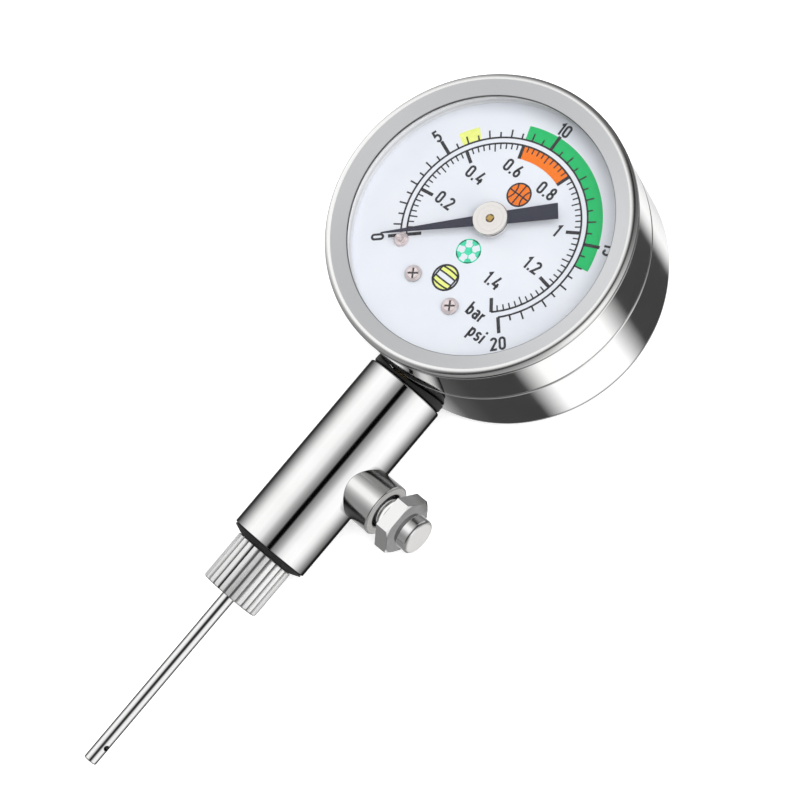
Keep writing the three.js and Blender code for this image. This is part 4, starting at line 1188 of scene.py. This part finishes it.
def make_flange(low, high):
    """A hexagon with two corners along the stem, its front chamfered to a circle."""
    corner = button.size.y / 2
    prism = turned("flange", VALVE_AXIS, [(0, low), (corner, low), (corner, high), (0, high)], 6)
    spin = Matrix.Rotation(math.radians(30), 4, VALVE_AXIS.direction)
    middle = Matrix.Translation(VALVE_AXIS.origin * MM)
    prism.data.transform(middle @ spin @ middle.inverted())
    cone = turned("cutter", VALVE_AXIS, [
        (0, low), (corner + 0.1, low), (corner + 0.1, high - FLANGE_CHAMFER),
        (corner - FLANGE_FACE_INSET, high), (0, high),
    ], 144)
    return combine(prism, "INTERSECT", cone)


def make_button(surface):
    """Foot, valve stem, barrel, shaft, flange, narrow neck and a round cap to press."""
    low = button.low.x
    end = button.high.x
    cap = end - CAP_LENGTH
    flange_end = cap - NECK_LENGTH
    flange = flange_end - FLANGE_LENGTH
    barrel_end = flange - SHAFT_LENGTH
    barrel = barrel_end - BARREL_LENGTH
    inside_flange = (flange + flange_end) / 2
    piece = lathed("bleed_button_cap", VALVE_AXIS, [
        (0, low, 0), (BUTTON_FOOT, low, 0.1), (BUTTON_FOOT, low + FOOT_LENGTH, 0.1),
        (VALVE_STEM, low + FOOT_LENGTH, 0), (VALVE_STEM, barrel, 0), (BUTTON_BARREL, barrel, 0.15),
        (BUTTON_BARREL, barrel_end, 0.15), (BUTTON_SHAFT, barrel_end, 0.1), (BUTTON_SHAFT, inside_flange, 0),
        (BUTTON_NECK, inside_flange, 0), (BUTTON_NECK, cap, 0), (BUTTON_CAP, cap, 0.12),
        (BUTTON_CAP, end, 0.55), (0, end, 0),
    ], steps=8)
    combine(piece, "UNION", make_flange(flange, flange_end))
    piece.visible_glossy = False      # the flange leaves no marks in the plate of the stem beside it
    install(piece, surface, "chrome_fittings", "valve_button", body="bleed_button")


def make_spring(surface):
    """The coil between the seat in the stem and the barrel of the button."""
    coil = spring.size.z / 2 - SPRING_WIRE
    low = spring.low.x + SPRING_WIRE
    length = spring.size.x
    steps = SPRING_TURNS * 40
    rows = []
    for step in range(steps + 1):
        angle = FULL_TURN * SPRING_TURNS * step / steps
        height = low + (length - 2 * SPRING_WIRE) * step / steps
        row = []
        for part in around(10):
            reach = coil + SPRING_WIRE * math.cos(part)
            row.append(VALVE_AXIS.at(reach, height + SPRING_WIRE * math.sin(part), angle))
        rows.append(row)
    piece = skin("valve_coil", rows)
    install(piece, surface, "spring_steel", "valve_spring")
    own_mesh(piece)


# ---------- needle ----------

NUT_RIDGES = 26
RIDGE_STEPS = 12              # points round the nut for each ridge
RIDGE_DEPTH = 0.38
RIDGE_SHARE = 0.25            # a ridge's top and sides reach this far below the middle of a wave
NEEDLE_BORE = 0.55
HOLE_FROM_TIP = 3.0
HOLE_RADIUS = 0.45
HOLE_TILT = math.radians(20)  # the side hole faces +X, turned this far to the front
WASHER_SQUEEZE = 0.13         # the soft washer all but touches the stem and the nut


def make_washer(surface):
    """A cone that narrows from the end of the stem to the ridges of the nut."""
    top = -washer.high.y - WASHER_SQUEEZE
    bottom = -washer.low.y + WASHER_SQUEEZE
    wide = washer.size.x / 2
    narrow = nut.size.x / 2 - 0.2
    piece = lathed("needle_seal_ring", STEM_AXIS, [
        (SPIGOT_HOLE, top, 0), (wide, top, 0.05), (wide, top + 0.25, 0.08), (narrow, bottom, 0.08),
        (SPIGOT_HOLE, bottom, 0),
    ], 96, closed=True)
    install(piece, surface, "black_rubber", "needle_washer", body="needle_carrier")


def make_nut(surface):
    """Coarse straight ridges with narrow grooves between them, and a plain spigot above."""
    radius = nut.size.x / 2
    bottom = -nut.low.y
    top = -washer.low.y + 0.2
    start = -nut.high.y
    spigot = SPIGOT_HOLE - GAP
    bore = needle.size.x / 2 + 0.2
    segments = NUT_RIDGES * RIDGE_STEPS

    def row(outer, height, depth=0.0):
        points = []
        for step in range(segments):
            wave = math.cos(FULL_TURN * step / RIDGE_STEPS)
            groove = max(0.0, (-wave - RIDGE_SHARE) / (1 - RIDGE_SHARE)) ** 0.8
            points.append(STEM_AXIS.at(outer - depth * groove, height, FULL_TURN * step / segments))
        return points

    piece = skin("knurled_nut", [
        row(bore, start), row(spigot - 0.4, start), row(spigot, start + 0.4), row(spigot, top),
        row(radius - 0.06, top, RIDGE_DEPTH - 0.03), row(radius, top + 0.06, RIDGE_DEPTH),
        row(radius, bottom - 0.35, RIDGE_DEPTH), row(radius - 0.06, bottom - 0.15, 0.32),
        row(radius - 0.3, bottom, 0.18), row(radius - 0.6, bottom), row(bore + 0.25, bottom),
        row(bore, bottom - 0.2),
    ], wrap=True, sharp_degrees=28)
    install(piece, surface, "chrome_fittings", "needle_nut", body="needle_unit")


def make_needle(surface):
    """A thin tube with a rounded open tip and a side hole near it."""
    radius = needle.size.x / 2
    top = -needle.high.y
    tip = -needle.low.y
    hole = tip - HOLE_FROM_TIP
    piece = lathed("inflation_needle", STEM_AXIS, [
        (NEEDLE_BORE, top, 0), (radius, top, 0.1), (radius, hole - 0.8, 0), (radius, hole + 0.8, 0),
        (radius, tip, 0.25), (NEEDLE_BORE, tip, 0.08),
    ], 96, closed=True, steps=6)
    hole_axis = Axis((0, -hole, STEM_Z), (math.cos(HOLE_TILT), 0, math.sin(HOLE_TILT)), (0, 1, 0))
    cut(piece, rod_cutter(hole_axis, HOLE_RADIUS, 0, radius + 1, 40))
    keep_round(piece, STEM_AXIS, radius)
    install(piece, surface, "bright_steel", "needle", body="needle_unit")


# ---------- Bourdon tube ----------

BOURDON_RADIUS = 16.3
BOURDON_FIRST = 246.0         # degrees round the case from +X, from the socket to the free end
BOURDON_LAST = 13.0
BOURDON_WIDTH = 5.0
BOURDON_THICKNESS = 1.8
BOURDON_WALL = 0.35


def make_bourdon(surface):
    """The flattened bent tube."""
    steps = 120

    def section(step, inset):
        angle = math.radians(BOURDON_FIRST + (BOURDON_LAST - BOURDON_FIRST) * step / steps)
        row = []
        for part in around(32):
            reach = BOURDON_RADIUS + (BOURDON_THICKNESS / 2 - inset) * math.cos(part)
            height = STEM_Z + (BOURDON_WIDTH / 2 - inset) * math.sin(part)
            row.append(CASE_AXIS.at(reach, height, angle))
        return row

    rows = [section(step, 0.0) for step in range(steps + 1)]
    rows += [section(step, BOURDON_WALL) for step in reversed(range(steps + 1))]
    piece = skin("bourdon_coil", rows, wrap=True)
    install(piece, surface, "bronze", "bourdon_tube", body=None)
    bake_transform(piece)


# ---------- floor, light and camera ----------

CAMERA_PLACE = (169.43, -45.24, 363.23)
CAMERA_RIGHT = (0.70372, 0.64467, -0.29862)
CAMERA_UP = (-0.56666, 0.76283, 0.31144)
CAMERA_LENS = 121.3           # on the usual 36 mm sensor
MAIN_TILT = math.radians(24)  # the tent's middle leans this far from +Z towards +X

# Brightness of the tent by the degrees round the stem from its middle.
TENT = ((0, 0.0), (5.3, 0.004), (8.8, 0.24), (14, 0.30), (23, 0.48), (34, 0.86), (50, 1.06), (86, 1.1),
        (100, 1.05), (125, 1.0), (150, 0.95), (180, 0.9))
# How much of it is left towards each end of the stem, by the direction's part along +Y.
TENT_ENDS = ((-1, 0.3), (-0.8, 0.26), (-0.67, 0.3), (-0.5, 0.45), (-0.37, 0.6), (-0.22, 0.88), (-0.14, 1.0),
             (0.14, 1.0), (0.22, 0.88), (0.37, 0.6), (0.5, 0.45), (0.67, 0.24), (0.8, 0.14), (1, 0.12))
# Dark cards and white gaps low down, by the degrees round the case from +X.
CARDS = ((-180, 0.9), (-150, 0.5), (-125, 0.1), (-103, 0.055), (-62, 0.05), (-42, 1.1), (14, 1.15),
         (27, 0.5), (37, 0.055), (92, 0.055), (104, 0.8), (112, 1.05), (124, 0.95), (136, 0.8),
         (150, 0.8), (165, 0.9), (180, 0.9))
UNDER_BRIGHT = 0.35           # straight below
CARDS_FROM = (0.865, 0.89)    # where the cards begin and end below, by the direction's part along -Z
CARDS_TO = (0.955, 0.975)


def make_floor():
    size = 3.0
    mesh = bpy.data.meshes.new("floor")
    corners = [(-size, -size, 0), (size, -size, 0), (size, size, 0), (-size, size, 0)]
    mesh.from_pydata(corners, [], [(0, 1, 2, 3)])
    floor = add_to_scene("floor", mesh)
    floor.location.z = cad_box[0][2] - 0.2 * MM
    surface = Surface("floor_card", (250, 250, 250), 0.0, 0.9)
    surface.set("Roughness", surface.mapped(surface.noise(300.0), 0.85, 0.95))
    surface.set("Emission Color", colour(250, 250, 250))
    surface.set("Emission Strength", 0.5)
    mesh.materials.append(surface.material)
    floor.visible_glossy = False


def make_camera():
    right = Vector(CAMERA_RIGHT).normalized()
    up = Vector(CAMERA_UP)
    up = (up - right * up.dot(right)).normalized()
    data = bpy.data.cameras.new("camera")
    data.lens = CAMERA_LENS
    data.clip_start = 0.01
    camera = add_to_scene("camera", data)
    turn = Matrix((right, up, right.cross(up))).transposed().to_4x4()
    camera.matrix_world = Matrix.Translation(Vector(CAMERA_PLACE) * MM) @ turn
    bpy.context.scene.camera = camera


def make_lamp(name, place, size, power):
    """A soft square lamp that lights the scene but isn't mirrored in the chrome."""
    data = bpy.data.lights.new(name, "AREA")
    data.energy = power
    data.size = size
    lamp = add_to_scene(name, data)
    lamp.location = place
    lamp.rotation_euler = (Vector((0, -0.03, 0)) - Vector(place)).to_track_quat("-Z", "Y").to_euler()
    lamp.visible_glossy = False


def make_sky():
    """A white studio tent with dark cards, as a brightness for each direction."""
    world = bpy.data.worlds.new("studio")
    world.use_nodes = True
    bpy.context.scene.world = world
    sky = Nodes(world.node_tree)
    direction = sky.node("TexCoord").outputs["Generated"]
    x, y, z = (sky.along(name, direction) for name in "XYZ")

    def product(first, second):
        return sky.maths("MULTIPLY", first, second)

    def smooth(value, limits):
        return sky.mapped(value, 0.0, 1.0, *limits, interpolation_type="SMOOTHSTEP")

    # The angle round the stem's axis from the tent's middle, as a share of half a turn.
    across = sky.maths("SQRT", sky.maths("ADD", product(x, x), product(z, z)))
    leaning = sky.maths("ADD", product(x, math.sin(MAIN_TILT)), product(z, math.cos(MAIN_TILT)))
    cosine = sky.maths("DIVIDE", leaning, sky.maths("MAXIMUM", across, 0.001))
    turn = sky.maths("DIVIDE", sky.maths("ARCCOSINE", cosine), math.pi)
    tent = sky.shades(turn, [(degrees / 180, bright) for degrees, bright in TENT])
    height = sky.maths("DIVIDE", sky.maths("ADD", y, 1.0), 2.0)
    ends = sky.shades(height, [((place + 1) / 2, bright) for place, bright in TENT_ENDS])
    clock = sky.maths("DIVIDE", sky.maths("ADD", sky.maths("ARCTAN2", y, x), math.pi), FULL_TURN)
    cards = sky.shades(clock, [((degrees + 180) / 360, bright) for degrees, bright in CARDS])
    depth = product(z, -1.0)
    lower = sky.mixed(smooth(depth, CARDS_TO), cards, UNDER_BRIGHT)
    whole = sky.mixed(smooth(depth, CARDS_FROM), product(tent, ends), lower)
    sky.feed(sky.tree.nodes["Background"].inputs["Color"], whole)


# ---------- assembly ----------

def dress_inner_nodes(surfaces):
    """Gives each CAD node that is still shown the surface of its material slot."""
    for part in frame["record"]["subparts"]:
        shown = frame["nodes"][part["node"]]
        if not shown.hide_render:
            shown.data.materials.clear()
            shown.data.materials.append(surfaces[part["material_slot"]])


def main():
    make_camera()
    make_floor()
    make_sky()
    make_lamp("key_lamp", (0.25, 0.15, 0.9), 0.7, 7.0)
    make_lamp("fill_lamp", (0.6, 0.1, 0.6), 0.8, 2.6)

    shell = chrome_shell("case_chrome")
    black_rubber = rubber("black_rubber", (18, 18, 18), (34, 34, 34))
    steel = bright_steel("bright_steel", CASE_AXIS)
    bronze = rolled_metal("bronze", (196, 146, 92), (160, 110, 66), 0.25)
    spring_steel = rolled_metal("spring_steel", (170, 170, 176), (130, 130, 138), 0.2)
    make_case(shell)
    make_bezel(satin_bezel())
    make_lens(clear_lens())
    make_gasket(pale_rubber())
    make_dial_plate(dial_enamel())

    black_ink = ink("black_ink", (30, 30, 34), (52, 52, 58))
    green_ink = ink("green_ink", (4, 172, 92), (14, 180, 102))
    orange_ink = ink("orange_ink", (226, 108, 0), (232, 116, 4))
    yellow_ink = ink("yellow_ink", (216, 224, 110), (226, 232, 136))
    print_scales(black_ink)
    print_numbers(black_ink)
    print_bands(green_ink, orange_ink, yellow_ink)
    print_basketball(orange_ink, black_ink)
    print_football(ink("ball_green_ink", (40, 196, 150), (76, 212, 172)))
    print_volleyball(yellow_ink, black_ink)

    for side in ("left", "right"):
        make_dial_screw(side)
    make_stop_pin()
    make_blade(pointer_paint())
    make_hub(bright_steel("hub_steel", POINTER_AXIS, (245, 241, 237), (0.16, 0.3)))

    make_seal(black_rubber)
    make_stem_tube(chrome_shell("stem_chrome", EDGE_SHADE))
    make_boss(chrome_fittings("sleeve_chrome", boss.high.x - 0.1, boss.high.x - 0.05, boss.high.x))
    cap = button.high.x - CAP_LENGTH
    make_button(chrome_fittings("button_chrome", button.high.x - 0.1, cap - NECK_LENGTH - 0.1, cap))
    make_spring(spring_steel)
    make_washer(black_rubber)
    make_nut(nut_plate())
    make_needle(needle_steel())
    make_bourdon(bronze)

    dress_inner_nodes({
        "bright_steel": steel,
        "brass": rolled_metal("brass", (214, 178, 98), (180, 142, 70), 0.25),
        "bronze": bronze,
        "spring_steel": spring_steel,
        "black_rubber": black_rubber,
    })
    bpy.context.scene.view_settings.view_transform = "Standard"


main()
